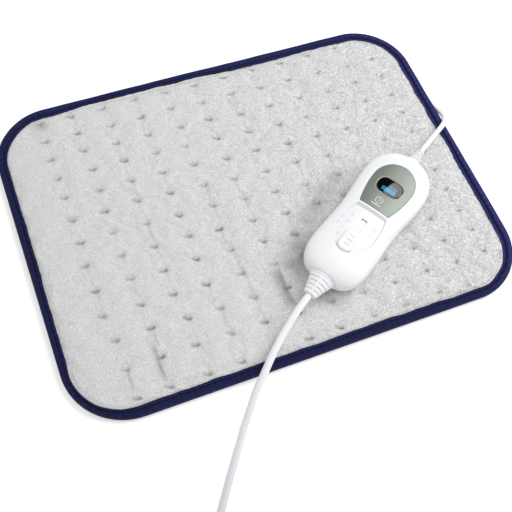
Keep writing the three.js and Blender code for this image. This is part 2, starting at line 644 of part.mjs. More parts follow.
const windowPrism = (grow) => solid(
  prism(roundedRectangle(...grown(WINDOW_SIZE, grow), WINDOW_CORNER + grow), 0, 2 * UPPER_HEIGHT)
    .translate(0, WINDOW_CENTRE, 0));

function panelShape() {
  const top = PANEL_TOP_WIDTH / 2;
  const half = PANEL_WIDTH / 2;
  const shape = new THREE.Shape();
  shape.moveTo(-top, PANEL_TOP);
  shape.lineTo(top, PANEL_TOP);
  shape.quadraticCurveTo(half, (PANEL_TOP + PANEL_WIDEST) / 2, half, PANEL_WIDEST);
  shape.bezierCurveTo(half, PANEL_WIDEST - PANEL_END_REACH, half / 2, PANEL_BOTTOM, 0, PANEL_BOTTOM);
  shape.bezierCurveTo(-half / 2, PANEL_BOTTOM, -half, PANEL_WIDEST - PANEL_END_REACH, -half, PANEL_WIDEST);
  shape.quadraticCurveTo(-half, (PANEL_TOP + PANEL_WIDEST) / 2, -top, PANEL_TOP);
  return shape;
}

// Openings at the housing's two ends for the necks of the strain reliefs.
const bootRoom = (boot, side) => solid(
  rod(0, 0, 0, boot.neck + 2 * CLEARANCE, 4 * UPPER_WALL, BOOT_SIDES)
    .scale(1, 1, boot.flatten).translate(0, side * HOUSING_HALF_LENGTH, 0));

function upperShell() {
  const wall = upperBlock(0).subtract(upperBlock(UPPER_WALL, UPPER_WALL));
  const bezelRecess = solid(prism(bezelShape(CLEARANCE), 0, 2 * UPPER_HEIGHT))
    .subtract(upperBlock(BEZEL_THICKNESS + CLEARANCE));
  const panel = solid(prism(panelShape(), 0, 2 * UPPER_HEIGHT)).subtract(upperBlock(PANEL_DEPTH));
  const slotSize = grown([STEM[0], STEM[1] + KNOB_TRAVEL], CLEARANCE);
  const trackSize = grown([SHUTTER_WIDTH, 2 * SHUTTER_REACH + KNOB_TRAVEL], CLEARANCE);
  const slot = solid(block(0, KNOB_MIDDLE, slotSize, 0, UPPER_HEIGHT));
  const track = solid(block(0, KNOB_MIDDLE, trackSize, 0, CEILING));
  let shell = wall.subtract(bezelRecess).subtract(windowPrism(-WINDOW_LEDGE)).subtract(panel)
    .subtract(slot).subtract(track);
  for (const [x, y] of POSTS) {
    const pilot = post(
      x, y, SCREW_DIAMETER + 2 * CLEARANCE,
      BOARD_BOTTOM - PILOT_RUN_OUT, BOARD_BOTTOM + SCREW_GRIP + PILOT_RUN_OUT);
    const column = solid(post(x, y, POST_DIAMETER, BOARD_BOTTOM, CEILING - UPPER_WALL / 2));
    shell = shell.add(column.intersect(upperBlock(UPPER_WALL / 2, 2 * LOWER_DEPTH))).subtract(solid(pilot));
  }
  return shell.subtract(bootRoom(MAINS_BOOT, -1)).subtract(bootRoom(LEAD_BOOT, 1));
}

function lowerShell() {
  let shell = lowerBlock(0, 0, -LOWER_DEPTH).subtract(lowerBlock(LOWER_WALL, LOWER_WALL, FLOOR));
  for (const [x, y] of POSTS) {
    const shoulder = solid(post(x, y, SHOULDER_DIAMETER, FLOOR - LOWER_WALL / 2, BOARD_BOTTOM - CLEARANCE));
    const recess = post(x, y, SCREW_HEAD[0] + 2 * CLEARANCE, -2 * LOWER_DEPTH, -LOWER_DEPTH + SCREW_RECESS);
    const hole = post(x, y, SCREW_DIAMETER + 2 * CLEARANCE, -2 * LOWER_DEPTH, LOWER_DEPTH);
    shell = shell.add(shoulder).subtract(solid(recess)).subtract(solid(hole));
  }
  return shell.subtract(bootRoom(MAINS_BOOT, -1)).subtract(bootRoom(LEAD_BOOT, 1));
}

function bezelPlate() {
  return solid(prism(bezelShape(0), 0, 2 * UPPER_HEIGHT)).intersect(upperBlock(0))
    .subtract(upperBlock(BEZEL_THICKNESS, UPPER_WALL)).subtract(windowPrism(CLEARANCE));
}

const displayWindow = () =>
  windowPrism(0).intersect(upperBlock(0)).subtract(upperBlock(BEZEL_THICKNESS, UPPER_WALL));

function slideKnob() {
  const [width, length] = KNOB_SIZE;
  const bottom = PANEL_FLOOR + CLEARANCE;
  const cap = new THREE.ExtrudeGeometry(
    roundedRectangle(width - 2 * KNOB_ROUNDING, length - 2 * KNOB_ROUNDING, width / 2 - 2 * KNOB_ROUNDING), {
      depth: KNOB_HEIGHT - 2 * KNOB_ROUNDING, bevelThickness: KNOB_ROUNDING, bevelSize: KNOB_ROUNDING,
      bevelSegments: 2, curveSegments: 3,
    }).translate(0, KNOB_REST, bottom + KNOB_ROUNDING);
  const stem = block(0, KNOB_REST, STEM, SLIDER_TOP + CLEARANCE, bottom + KNOB_HEIGHT / 2);
  let knob = solid(cap).add(solid(stem));
  for (let i = 0; i < KNOB_RIDGES; i++) {
    const y = KNOB_REST + (i - (KNOB_RIDGES - 1) / 2) * KNOB_RIDGE_PITCH;
    const [across, along, up] = KNOB_RIDGE;
    const top = bottom + KNOB_HEIGHT;
    knob = knob.add(solid(block(0, y, [across, along], top - up, top + up)));
  }
  return knob;
}

function slotShutter() {
  const size = [SHUTTER_WIDTH, 2 * SHUTTER_REACH];
  const plate = block(0, KNOB_REST, size, SHUTTER_TOP - SHUTTER_THICKNESS, SHUTTER_TOP);
  return solid(plate).subtract(solid(block(0, KNOB_REST, grown(STEM, CLEARANCE), 0, UPPER_HEIGHT)));
}

function switchBody() {
  const [width, length] = SLIDER_BLOCK;
  const room = grown([width, length + KNOB_TRAVEL], CLEARANCE);
  const shell = block(0, KNOB_MIDDLE, grown(room, SWITCH_WALL), PART_SEAT, SWITCH_TOP);
  return solid(shell).subtract(solid(block(0, KNOB_MIDDLE, room, CHANNEL_FLOOR, UPPER_HEIGHT)));
}

function switchSlider() {
  const [width, length, height] = SLIDER_BLOCK;
  const bottom = CHANNEL_FLOOR + CLEARANCE;
  const slider = block(0, KNOB_REST, [width, length], bottom, bottom + height);
  const tongue = block(0, KNOB_REST, STEM, bottom + height / 2, SLIDER_TOP);
  return solid(slider).add(solid(tongue));
}

function circuitBoard() {
  const length = 2 * (HOUSING_HALF_LENGTH - BOARD_END_MARGIN);
  let board = solid(prism(roundedRectangle(BOARD_WIDTH, length, BOARD_CORNER), BOARD_BOTTOM, BOARD_TOP, 3)
    .translate(0, BOARD_CENTRE, 0));
  for (const [x, y] of POSTS) {
    board = board.subtract(solid(post(x, y, POST_DIAMETER + 2 * CLEARANCE, 2 * BOARD_BOTTOM, 0)));
  }
  return board;
}

// Light box behind the window: a frame with one open cell for each row of bars.
function displayLightBox() {
  const [width, length] = grown(WINDOW_SIZE, -1.5 * WINDOW_LEDGE);
  const top = CEILING - CLEARANCE;
  const pitch = (length - LIGHT_BOX_WALL) / LIGHT_BOX_CELLS;
  const cell = [width - 2 * LIGHT_BOX_WALL, pitch - LIGHT_BOX_WALL];
  let frame = solid(block(0, WINDOW_CENTRE, [width, length], PART_SEAT, top));
  for (let i = 0; i < LIGHT_BOX_CELLS; i++) {
    const middle = WINDOW_CENTRE + (i - (LIGHT_BOX_CELLS - 1) / 2) * pitch;
    frame = frame.subtract(solid(block(0, middle, cell, PART_SEAT + LIGHT_BOX_WALL, 2 * top)));
  }
  return frame;
}

const boardBlock = ({ at, size: [width, length, height] }) =>
  block(...at, [width, length], PART_SEAT, PART_SEAT + height);

const boardRod = ({ at, diameter, length }) => rod(...at, PART_SEAT + diameter / 2, diameter, length);

function terminalBlock(side) {
  const { width, length, height, inset } = TERMINAL;
  const middle = side * (HOUSING_HALF_LENGTH - inset - length / 2);
  return block(0, middle, [width, length], PART_SEAT, PART_SEAT + height);
}

// A moulded strain relief: a flange inside the wall, a neck through it and a ribbed taper outside.
function ribbedBoot(boot, side) {
  const inside = -UPPER_WALL - CLEARANCE;
  const rib = boot.length / (2 * boot.ribs + 1);
  const profile = [
    [0, inside - BOOT_FLANGE_THICKNESS], [boot.flange / 2, inside - BOOT_FLANGE_THICKNESS],
    [boot.flange / 2, inside], [boot.neck / 2, inside], [boot.neck / 2, CLEARANCE],
  ];
  for (let i = 0; i <= 2 * boot.ribs; i++) {
    const radius = (at) => THREE.MathUtils.lerp(boot.base, boot.tip, at / boot.length) / 2;
    const groove = i % 2 ? boot.groove : 0;
    profile.push([radius(i * rib) - groove, CLEARANCE + i * rib]);
    profile.push([radius((i + 1) * rib) - groove, CLEARANCE + (i + 1) * rib]);
  }
  profile.push([0, CLEARANCE + boot.length]);
  const points = profile.map(([r, y]) => new THREE.Vector2(r, y));
  const shape = new THREE.LatheGeometry(points, BOOT_SIDES).scale(1, 1, boot.flatten);
  return (side < 0 ? shape.rotateZ(Math.PI) : shape).translate(0, side * HOUSING_HALF_LENGTH, 0);
}

function addCores(name, side, group) {
  const start = HOUSING_HALF_LENGTH - UPPER_WALL - BOOT_FLANGE_THICKNESS - 2 * CLEARANCE;
  const end = HOUSING_HALF_LENGTH - TERMINAL.inset + CLEARANCE;
  const middle = side * (start + end) / 2;
  [CORE_BROWN, CORE_BLUE].forEach((finish, i) => {
    const core = rod((i - 0.5) * CORE_PITCH, middle, 0, CORE_DIAMETER, start - end);
    part(`${name}_core_${i + 1}`, core, finish, group);
  });
}

function housingScrew([x, y]) {
  const top = -LOWER_DEPTH + SCREW_RECESS - CLEARANCE;
  const head = post(x, y, SCREW_HEAD[0], top - SCREW_HEAD[1], top);
  const shank = post(x, y, SCREW_DIAMETER, top - SCREW_HEAD[1] / 2, BOARD_BOTTOM + SCREW_GRIP);
  return solid(head).add(solid(shank));
}

function buildController(group) {
  const halves = [new THREE.Group(), new THREE.Group()];
  halves[0].position.z = CLEARANCE / 2;
  halves[1].position.z = -CLEARANCE / 2;
  group.add(...halves);
  part('upper_shell', upperShell(), HOUSING, halves[0]);
  part('bezel_plate', bezelPlate(), BEZEL, halves[0]);
  part('display_window', displayWindow(), WINDOW, halves[0]);
  part('lower_shell', lowerShell(), HOUSING, halves[1]);
  part('circuit_board', circuitBoard(), BOARD_GREEN, group);
  part('display_light_box', displayLightBox(), WHITE_ABS, group);
  part('switch_body', switchBody(), BLACK_PLASTIC, group);
  part('switch_slider', switchSlider(), WHITE_ABS, group);
  part('slot_shutter', slotShutter(), HOUSING, group);
  part('slide_knob', slideKnob(), HOUSING, group);
  part('control_chip', boardBlock(CONTROL_CHIP), BLACK_PLASTIC, group);
  part('power_triac', boardBlock(POWER_TRIAC), BLACK_PLASTIC, group);
  part('suppression_capacitor', boardBlock(SUPPRESSION_CAPACITOR), YELLOW_FILM, group);
  part('dropper_capacitor', boardBlock(DROPPER_CAPACITOR), BLUE_FILM, group);
  part('mains_fuse', boardRod(MAINS_FUSE), FUSE_GLASS, group);
  part('smoothing_capacitor', boardRod(SMOOTHING_CAPACITOR), BLACK_PLASTIC, group);
  part('mains_terminal', terminalBlock(-1), WHITE_ABS, group);
  part('lead_terminal', terminalBlock(1), WHITE_ABS, group);
  addCores('mains', -1, group);
  addCores('lead', 1, group);
  part('mains_boot', ribbedBoot(MAINS_BOOT, -1), PVC, group);
  part('lead_boot', ribbedBoot(LEAD_BOOT, 1), PVC, group);
  POSTS.forEach((at, i) => part(`housing_screw_${i + 1}`, housingScrew(at), STEEL, group));
}

// A point on the controller's axis, straight out of a strain relief's end.
function cordOut(boot, side, out) {
  const reach = side * (HOUSING_HALF_LENGTH + CLEARANCE + boot.length + FACE_GAP + out);
  return [
    CONTROLLER_CENTRE[0] + reach * Math.cos(CONTROLLER_HEADING),
    CONTROLLER_CENTRE[1] + reach * Math.sin(CONTROLLER_HEADING), PARTING_HEIGHT,
  ];
}

const leadRoute = () => [
  ...[0, 1 / 3, 2 / 3, 1].map((share) => leadOut(FACE_GAP + share * LEAD_STRAIGHT)), ...LEAD_ROUTE,
  cordOut(LEAD_BOOT, 1, LEAD_EXIT_STRAIGHT), cordOut(LEAD_BOOT, 1, 0),
];

const mainsRoute = () => [
  cordOut(MAINS_BOOT, -1, 0), cordOut(MAINS_BOOT, -1, MAINS_EXIT_STRAIGHT), ...MAINS_ROUTE,
  [...COIL_ENTRY, COIL_HEIGHT],
];

// The coil: it spirals in on the floor layer, climbs where it turns back and spirals out on top.
function coilRoute() {
  const [from, entry] = mainsRoute().slice(-2).map((p) => new THREE.Vector3(...p));
  const along = entry.clone().sub(from).setZ(0).normalize();
  const left = new THREE.Vector3(-along.y, along.x, 0);
  const half = COIL_TURNS / 2;
  const outer = COIL_INNER_RADIUS + COIL_PITCH * half;
  const start = entry.clone().addScaledVector(along, FACE_GAP);
  const tangent = start.clone().addScaledVector(along, MAINS_DIAMETER);
  const centre = tangent.clone().addScaledVector(left, outer);
  const first = Math.atan2(-left.y, -left.x);
  const points = [start];
  const steps = Math.round(COIL_TURNS * COIL_STEPS_PER_TURN);
  for (let i = 0; i <= steps; i++) {
    const turn = COIL_TURNS * i / steps;
    const radius = COIL_INNER_RADIUS + COIL_PITCH * Math.abs(turn - half);
    const climb = ease(0, COIL_PITCH, (turn - half) * 2 + 0.5);
    const angle = first + 2 * Math.PI * turn;
    points.push(centre.clone().add(
      new THREE.Vector3(radius * Math.cos(angle), radius * Math.sin(angle), climb)));
  }
  const last = points[points.length - 1];
  const heading = new THREE.Vector3(-(last.y - centre.y), last.x - centre.x, 0).normalize();
  points.push(last.clone().addScaledVector(heading, MAINS_DIAMETER));
  return { points, centre, outer, heading };
}

// The least clear distance between one turn of a tube and another, measured on its points.
function leastGap(points, diameter) {
  let least = Infinity;
  for (let i = 0; i < points.length; i++) {
    for (let j = i + COIL_STEPS_PER_TURN / 2; j < points.length; j++) {
      least = Math.min(least, points[i].distanceTo(points[j]) - diameter);
    }
  }
  return least;
}

function coilTie({ centre, outer }) {
  const room = MAINS_DIAMETER / 2 + 1.5 * CLEARANCE + TIE_THICKNESS;
  const [inside, outside] = [COIL_INNER_RADIUS - room, outer + room];
  const width = outside - inside;
  const height = COIL_PITCH + MAINS_DIAMETER + 2 * CLEARANCE + 2 * TIE_THICKNESS;
  const strap = (inset) => solid(new THREE.ExtrudeGeometry(
    roundedRectangle(width - 2 * inset, height - 2 * inset, height / 3 - inset),
    { depth: TIE_WIDTH + 2 * inset, bevelEnabled: false, curveSegments: 4 }).translate(0, 0, -inset)
    .rotateX(Math.PI / 2).translate((inside + outside) / 2, TIE_WIDTH / 2, height / 2)
    .rotateZ(TIE_ANGLE).translate(centre.x, centre.y, 0));
  return strap(0).subtract(strap(TIE_THICKNESS));
}

// The plug in its own frame: y from its cord to its pins, lying flat, z up from its middle.
function plugBody() {
  const [width, length, height] = PLUG_SIZE;
  const rings = PLUG_STATIONS.map(([at, wide, tall]) => {
    const [x, z] = [wide * width / 2, tall * height / 2];
    const [flatX, flatZ] = [x - PLUG_BEVEL, z - PLUG_BEVEL];
    return [
      [x, -flatZ], [x, flatZ], [flatX, z], [-flatX, z], [-x, flatZ], [-x, -flatZ], [-flatX, -z], [flatX, -z],
    ].map(([across, up]) => new THREE.Vector3(across, at * length, up));
  });
  const seat = (side) => solid(
    rod(side * PIN_SPACING / 2, length, 0, PIN_DIAMETER + 2 * CLEARANCE, PIN_SEAT * 2));
  return solid(loft(rings)).subtract(seat(-1)).subtract(seat(1));
}

function plugPin(side) {
  const [, length] = PLUG_SIZE;
  const bottom = length - PIN_SEAT + CLEARANCE;
  const tip = length + PIN_LENGTH;
  const profile = [
    [0, bottom], [PIN_DIAMETER / 2, bottom], [PIN_DIAMETER / 2, tip - PIN_TIP],
    [PIN_DIAMETER / 2 - PIN_TIP, tip], [0, tip],
  ];
  return new THREE.LatheGeometry(profile.map(([r, y]) => new THREE.Vector2(r, y)), 12)
    .translate(side * PIN_SPACING / 2, 0, 0);
}

function plugBoot() {
  const { base, tip, length, ribs, groove } = PLUG_BOOT;
  const rib = length / (2 * ribs + 1);
  const profile = [[0, -CLEARANCE]];
  for (let i = 0; i <= 2 * ribs; i++) {
    const radius = THREE.MathUtils.lerp(base, tip, i / (2 * ribs)) / 2 - (i % 2 ? groove : 0);
    profile.push([radius, -CLEARANCE - i * rib], [radius, -CLEARANCE - (i + 1) * rib]);
  }
  profile.push([0, -CLEARANCE - length]);
  return new THREE.LatheGeometry(profile.reverse().map(([r, y]) => new THREE.Vector2(r, y)), BOOT_SIDES);
}

function buildCords(group) {
  part('pad_lead', tube(smoothRoute(leadRoute(), LEAD_STEPS), LEAD_DIAMETER, CORD_SIDES), PVC, group);
  part('mains_cord', tube(smoothRoute(mainsRoute(), MAINS_STEPS), MAINS_DIAMETER, CORD_SIDES), PVC, group);
  const coil = coilRoute();
  console.log(`coil: least gap ${leastGap(coil.points, MAINS_DIAMETER).toFixed(2)} mm`);
  part('mains_cord_coil', tube(coil.points, MAINS_DIAMETER, COIL_SIDES), PVC, group);
  part('coil_tie', coilTie(coil), TIE_BLACK, group);

  const tailStart = coil.points[coil.points.length - 1].clone().addScaledVector(coil.heading, FACE_GAP);
  const plugHeight = PLUG_SIZE[2] / 2;
  const tail = Array.from({ length: TAIL_STEPS + 1 }, (_, i) => {
    const rise = (i / TAIL_STEPS - TAIL_LEVEL_SHARE) / (1 - 2 * TAIL_LEVEL_SHARE);
    return tailStart.clone().addScaledVector(coil.heading, TAIL_LENGTH * i / TAIL_STEPS)
      .setZ(ease(tailStart.z, plugHeight, rise));
  });
  part('mains_cord_tail', tube(tail, MAINS_DIAMETER, CORD_SIDES), PVC, group);

  const plug = new THREE.Group();
  const reach = TAIL_LENGTH + FACE_GAP + PLUG_BOOT.length + CLEARANCE;
  plug.position.copy(tailStart).addScaledVector(coil.heading, reach).setZ(plugHeight);
  plug.rotation.z = Math.atan2(coil.heading.y, coil.heading.x) - Math.PI / 2;
  group.add(plug);
  part('plug_body', plugBody(), PVC, plug);
  part('plug_boot', plugBoot(), PVC, plug);
  part('plug_pin_1', plugPin(-1), NICKEL, plug);
  part('plug_pin_2', plugPin(1), NICKEL, plug);
}

const heatingPad = new THREE.Group();
buildPad(heatingPad);
const controller = new THREE.Group();
controller.position.set(...CONTROLLER_CENTRE, PARTING_HEIGHT);
controller.rotation.z = CONTROLLER_HEADING - Math.PI / 2;
buildController(controller);
heatingPad.add(controller);
buildCords(heatingPad);

export default heatingPad;
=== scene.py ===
import math

import bmesh
import bpy
import numpy as np
from mathutils import Matrix, Vector, noise


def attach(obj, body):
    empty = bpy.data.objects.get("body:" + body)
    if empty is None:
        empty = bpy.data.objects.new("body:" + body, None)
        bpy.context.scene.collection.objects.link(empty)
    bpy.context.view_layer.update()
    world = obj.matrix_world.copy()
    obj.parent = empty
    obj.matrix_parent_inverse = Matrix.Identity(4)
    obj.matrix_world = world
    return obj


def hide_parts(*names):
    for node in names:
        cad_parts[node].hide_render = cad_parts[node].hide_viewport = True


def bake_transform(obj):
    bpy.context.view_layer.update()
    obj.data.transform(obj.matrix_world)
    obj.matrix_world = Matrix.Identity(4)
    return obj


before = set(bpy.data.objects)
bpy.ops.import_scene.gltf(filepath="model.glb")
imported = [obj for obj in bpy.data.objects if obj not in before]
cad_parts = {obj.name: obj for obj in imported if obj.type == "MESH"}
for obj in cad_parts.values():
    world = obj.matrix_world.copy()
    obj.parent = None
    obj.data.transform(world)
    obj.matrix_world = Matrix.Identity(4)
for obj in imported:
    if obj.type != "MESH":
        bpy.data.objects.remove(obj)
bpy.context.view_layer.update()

scene = bpy.context.scene

# The table: a white acrylic board lit from below, as for a cut-out picture. Soft daylight comes from all
# round, a large softbox stands behind the pad to the right, where the display window mirrors its edge, and a
# lower side lamp gives the controller its shadow on the pad.
MM = 0.001


def linear(code):
    """An sRGB hex colour as linear red, green, blue and alpha."""
    channels = [int(code[i:i + 2], 16) / 255 for i in (1, 3, 5)]
    return tuple(c / 12.92 if c <= 0.04045 else ((c + 0.055) / 1.055) ** 2.4 for c in channels) + (1.0,)


def add(tree, kind, inputs=None, **settings):
    """Adds a node with its settings, and with its inputs as values or as links from other nodes."""
    node = tree.nodes.new(kind)
    for name, value in settings.items():
        setattr(node, name, value)
    for key, value in (inputs or {}).items():
        if isinstance(value, bpy.types.NodeSocket):
            tree.links.new(value, node.inputs[key])
        else:
            node.inputs[key].default_value = value
    return node


def new_finish(name):
    """An empty material with its node tree, and the place on the piece for its textures."""
    material = bpy.data.materials.new(name)
    material.use_nodes = True
    tree = material.node_tree
    tree.nodes.clear()
    return material, tree, add(tree, "ShaderNodeTexCoord").outputs["Object"]


def speckle(tree, place, size, **more):
    """Noise from 0 to 1 with lumps of about that many millimetres."""
    return add(tree, "ShaderNodeTexNoise", {"Vector": place, "Scale": 1 / (size * MM), **more}).outputs["Fac"]


def ranged(tree, value, low, high, start=0.0, end=1.0):
    """A value brought from the range of start to end into that of low to high, and held inside it."""
    return add(tree, "ShaderNodeMapRange", {
        "Value": value, "From Min": start, "From Max": end, "To Min": low, "To Max": high}).outputs["Result"]


def bumps(tree, height, strength, depth):
    """The relief that a texture gives a surface, that many millimetres deep."""
    return add(tree, "ShaderNodeBump", {
        "Height": height, "Strength": strength, "Distance": depth * MM}).outputs["Normal"]


def surface(tree, look):
    """Ends a material with one surface of that look."""
    shown = add(tree, "ShaderNodeBsdfPrincipled", look)
    add(tree, "ShaderNodeOutputMaterial", {"Surface": shown.outputs[0]})


def piece(name, points, faces, material, closed=True, sharp=None, **values):
    """A smooth mesh object from points in millimetres, with named values at them for its material.

    A closed one has its faces turned outwards. Edges past an angle in degrees can stay sharp.
    """
    mesh = bpy.data.meshes.new(name)
    mesh.from_pydata((np.asarray(points, float).reshape(-1, 3) * MM).tolist(), [], faces)
    for label, numbers in values.items():
        attribute = mesh.attributes.new(label, "FLOAT", "POINT")
        attribute.data.foreach_set("value", np.ravel(numbers).astype(np.float32))
    if closed:
        shape = bmesh.new()
        shape.from_mesh(mesh)
        bmesh.ops.remove_doubles(shape, verts=shape.verts, dist=1e-6)
        bmesh.ops.recalc_face_normals(shape, faces=shape.faces)
        shape.to_mesh(mesh)
        shape.free()
    mesh.shade_smooth()
    if sharp:
        mesh.set_sharp_from_angle(angle=math.radians(sharp))
    mesh.materials.append(material)
    obj = bpy.data.objects.new(name, mesh)
    scene.collection.objects.link(obj)
    return obj


# Lit acrylic: an even, glowing white, with a roller grain of 2 mm that is too faint to make out.
paint, tree, place = new_finish("lit_white_acrylic")
surface(tree, {
    "Base Color": linear("#fbfbfb"), "Roughness": 0.9, "Specular IOR Level": 0.2,
    "Emission Color": linear("#ffffff"), "Emission Strength": 0.3,
    "Normal": bumps(tree, speckle(tree, place, 2), 0.05, 0.1)})
table_half, table_top = 4000, -0.2
table_corners = [(x * table_half, y * table_half, table_top) for x, y in ((-1, -1), (1, -1), (1, 1), (-1, 1))]
table = piece("table", table_corners, [(0, 1, 2, 3)], paint, closed=False)

# The daylight is white, brighter from the left, and has a dark gap that the display window mirrors.
scene.view_settings.view_transform = "Standard"
world = bpy.data.worlds.new("daylight")
world.use_nodes = True
tree = world.node_tree
sky = add(tree, "ShaderNodeTexCoord")
toward_gap = add(tree, "ShaderNodeVectorMath", {0: sky.outputs["Generated"], 1: (0.36, 0.48, 0.8)},
                 operation="DOT_PRODUCT")
gap = ranged(tree, toward_gap.outputs["Value"], 1, 0.08, start=0.87, end=0.96)
toward_left = add(tree, "ShaderNodeVectorMath", {0: sky.outputs["Generated"], 1: (-0.95, 0.1, 0.3)},
                  operation="DOT_PRODUCT")
daylight = ranged(tree, toward_left.outputs["Value"], 0.42, 0.9, start=-1)
brightness = add(tree, "ShaderNodeMath", {0: gap, 1: daylight}, operation="MULTIPLY")
tree.links.new(brightness.outputs[0], tree.nodes["Background"].inputs["Strength"])
tree.nodes["Background"].inputs["Color"].default_value = linear("#ffffff")
scene.world = world

# The softbox faces the window, turned so that the mirror image of its edge crosses the window aslant.
softbox = bpy.data.objects.new("softbox", bpy.data.lights.new("softbox", "AREA"))
softbox.data.shape = "RECTANGLE"
softbox.data.size = 0.9
softbox.data.size_y = 0.9
softbox.data.energy = 13
window_place, softbox_place = Vector((0.102, -0.044, 0.037)), Vector((0.9256, 0.197, 1.2676))
away = (softbox_place - window_place).normalized()
edge_line = Vector((0.741, 0.361, -0.566))
edge_line = (edge_line - away * edge_line.dot(away)).normalized()
softbox.matrix_world = Matrix.Translation(softbox_place) @ Matrix((
    edge_line.cross(away), edge_line, away)).transposed().to_4x4()
scene.collection.objects.link(softbox)

side_lamp = bpy.data.objects.new("side_lamp", bpy.data.lights.new("side_lamp", "AREA"))
side_lamp.data.size = 0.6
side_lamp.data.energy = 5
side_lamp.matrix_world = Matrix.Translation((1.25, -0.51, 1.0)) @ Vector(
    (1.17, -0.45, 0.98)).to_track_quat("Z", "Y").to_matrix().to_4x4()
scene.collection.objects.link(side_lamp)

# The camera stands where the picture was taken from, by a perspective fit of the pad's outline.
camera = bpy.data.objects.new("camera", bpy.data.cameras.new("camera"))
camera.data.sensor_width = 36
camera.data.lens = 56.96
right = Vector((0.92732712, -0.36500435, 0.0826815))
above = Vector((0.29124449, 0.84256207, 0.4530627))
behind = Vector((-0.23503415, -0.3960568, 0.88763616))
camera.matrix_world = Matrix.Translation((-0.179817, -0.321768, 0.611510)) @ Matrix((
    right, above, behind)).transposed().to_4x4()
scene.collection.objects.link(camera)
scene.camera = camera

# Bottom cover: a flat-woven polyester backing, cut to the pad's rounded outline. Its edge is sewn into the
# seam under the tape, and each tack draws a small hollow into it. The layers lie a little to the front and
# left in the tape, which is so much wider along the back and the right.
pad_half = np.array((200, 150))
pad_corner, tape_width, seam_shift = 52, 9.9, np.array((-1.8, -1.8))


def quads(rows, columns, round_rows=False, round_columns=False):
    """Faces over a grid of points, closed on itself where it goes round."""
    return [
        (i * columns + j, i * columns + (j + 1) % columns,
         (i + 1) % rows * columns + (j + 1) % columns, (i + 1) % rows * columns + j)
        for i in range(rows if round_rows else rows - 1)
        for j in range(columns if round_columns else columns - 1)]


def from_edge(x, y):
    """How far points lie in from the pad's outline, moved over as far as the seam is."""
    side_x, side_y = pad_half[0] - np.abs(x - seam_shift[0]), pad_half[1] - np.abs(y - seam_shift[1])
    corner = pad_corner - np.hypot(np.maximum(pad_corner - side_x, 0), np.maximum(pad_corner - side_y, 0))
    return np.where((side_x < pad_corner) & (side_y < pad_corner), corner, np.minimum(side_x, side_y))


def pad_grid(inset, columns, rows):
    """Points over the pad inside an inset, row by row, and a little closer together towards the edge."""
    spacing = [v * (1.12 - 0.12 * v ** 2) for v in (np.linspace(-1, 1, columns), np.linspace(-1, 1, rows))]
    (half_x, half_y), corner = pad_half - inset, pad_corner - inset
    y = half_y * spacing[1]
    past = np.clip(np.abs(y) - (half_y - corner), 0, corner)
    width = half_x - corner + np.sqrt(corner ** 2 - past ** 2)
    return width[:, None] * spacing[0] + seam_shift[0], np.repeat(y[:, None], columns, 1) + seam_shift[1]


tack_columns, tack_rows, tack_pitch, tack_centre = 12, 13, (29, 22.4), (4.5, -1.75)
column, row = (part.ravel() for part in np.meshgrid(np.arange(tack_columns), np.arange(tack_rows)))
row_drift = 8 * np.sin(np.pi * row / (tack_rows - 1)) / (1 + np.exp(1.2 * (column - 5)))
front_drift = 3.5 / (1 + np.exp(3 * (row - 2.6)))
uneven = np.random.default_rng(3).normal(0, 0.7, (2, len(column)))
tacks = np.stack([
    tack_centre[0] + (column - (tack_columns - 1) / 2) * tack_pitch[0] + front_drift + uneven[0],
    tack_centre[1] + (row - (tack_rows - 1) / 2) * tack_pitch[1] + row_drift + uneven[1]], 1)
clear_of_tape = from_edge(*tacks.T) > tape_width + 3
tacks = tacks[clear_of_tape]


def from_tack(x, y, stretch=1.0):
    """Distance to the nearest tack, which is stretch times as wide along the rows."""
    nearest = np.full(x.shape, 1e3)
    for tack in tacks:
        nearest = np.minimum(nearest, np.hypot((x - tack[0]) / stretch, y - tack[1]))
    return nearest


def banded(tree, place, spacing, way, **more):
    """Bands from 0 to 1, that many millimetres apart along X, Y or the diagonal."""
    bands_at_scale_1 = 20 / math.tau
    return add(tree, "ShaderNodeTexWave", {
        "Vector": place, "Scale": 1 / (bands_at_scale_1 * spacing * MM), **more},
        bands_direction=way).outputs["Fac"]


def between(tree, share, first, second, **how):
    """The colour at a share of the way from a first to a second, each a hex code or from another node."""
    ends = [linear(colour) if isinstance(colour, str) else colour for colour in (first, second)]
    return add(tree, "ShaderNodeMix", {
        "Factor": share, 6: ends[0], 7: ends[1]}, data_type="RGBA", **how).outputs[2]


# Flat weave: dull cloth with a small grid of threads. They are half a millimetre apart, too fine to show, and
# are drawn 2.4 mm apart.
weave, tree, place = new_finish("flat_woven_polyester")
warp, weft = (banded(tree, place, 2.4, way, Distortion=0.6) for way in ("X", "Y"))
over = add(tree, "ShaderNodeMath", {0: warp, 1: weft}, operation="MULTIPLY").outputs[0]
surface(tree, {
    "Base Color": between(tree, over, "#b4b5b8", "#cfd0d2"), "Roughness": 0.85, "Sheen Weight": 0.15,
    "Normal": bumps(tree, over, 0.5, 0.2)})

backing_inset, backing_columns, backing_rows = tape_width - 0.4, 190, 140
x, y = pad_grid(backing_inset, backing_columns, backing_rows)
edge = np.maximum(from_edge(x, y) - backing_inset, 0)
z = 0.1 + 1.3 * np.exp(-edge / 1.2) + 0.9 * np.exp(-(from_tack(x, y, 1.4) / 3.2) ** 2)
backing_faces = [face[::-1] for face in quads(backing_rows, backing_columns)]
backing = piece("backing_cloth", np.stack([x, y, z], -1), backing_faces, weave, closed=False)
wall = backing.modifiers.new("cloth", "SOLIDIFY")
wall.thickness, wall.offset = 0.5 * MM, -1
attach(backing, "pad")
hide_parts("bottom_cover")

# Inside the pad: two layers of needled white wadding, and between them a bonded carrier sheet on which the
# heating wire in its silicone jacket lies in rows. Their solids stay, each with its own finish.


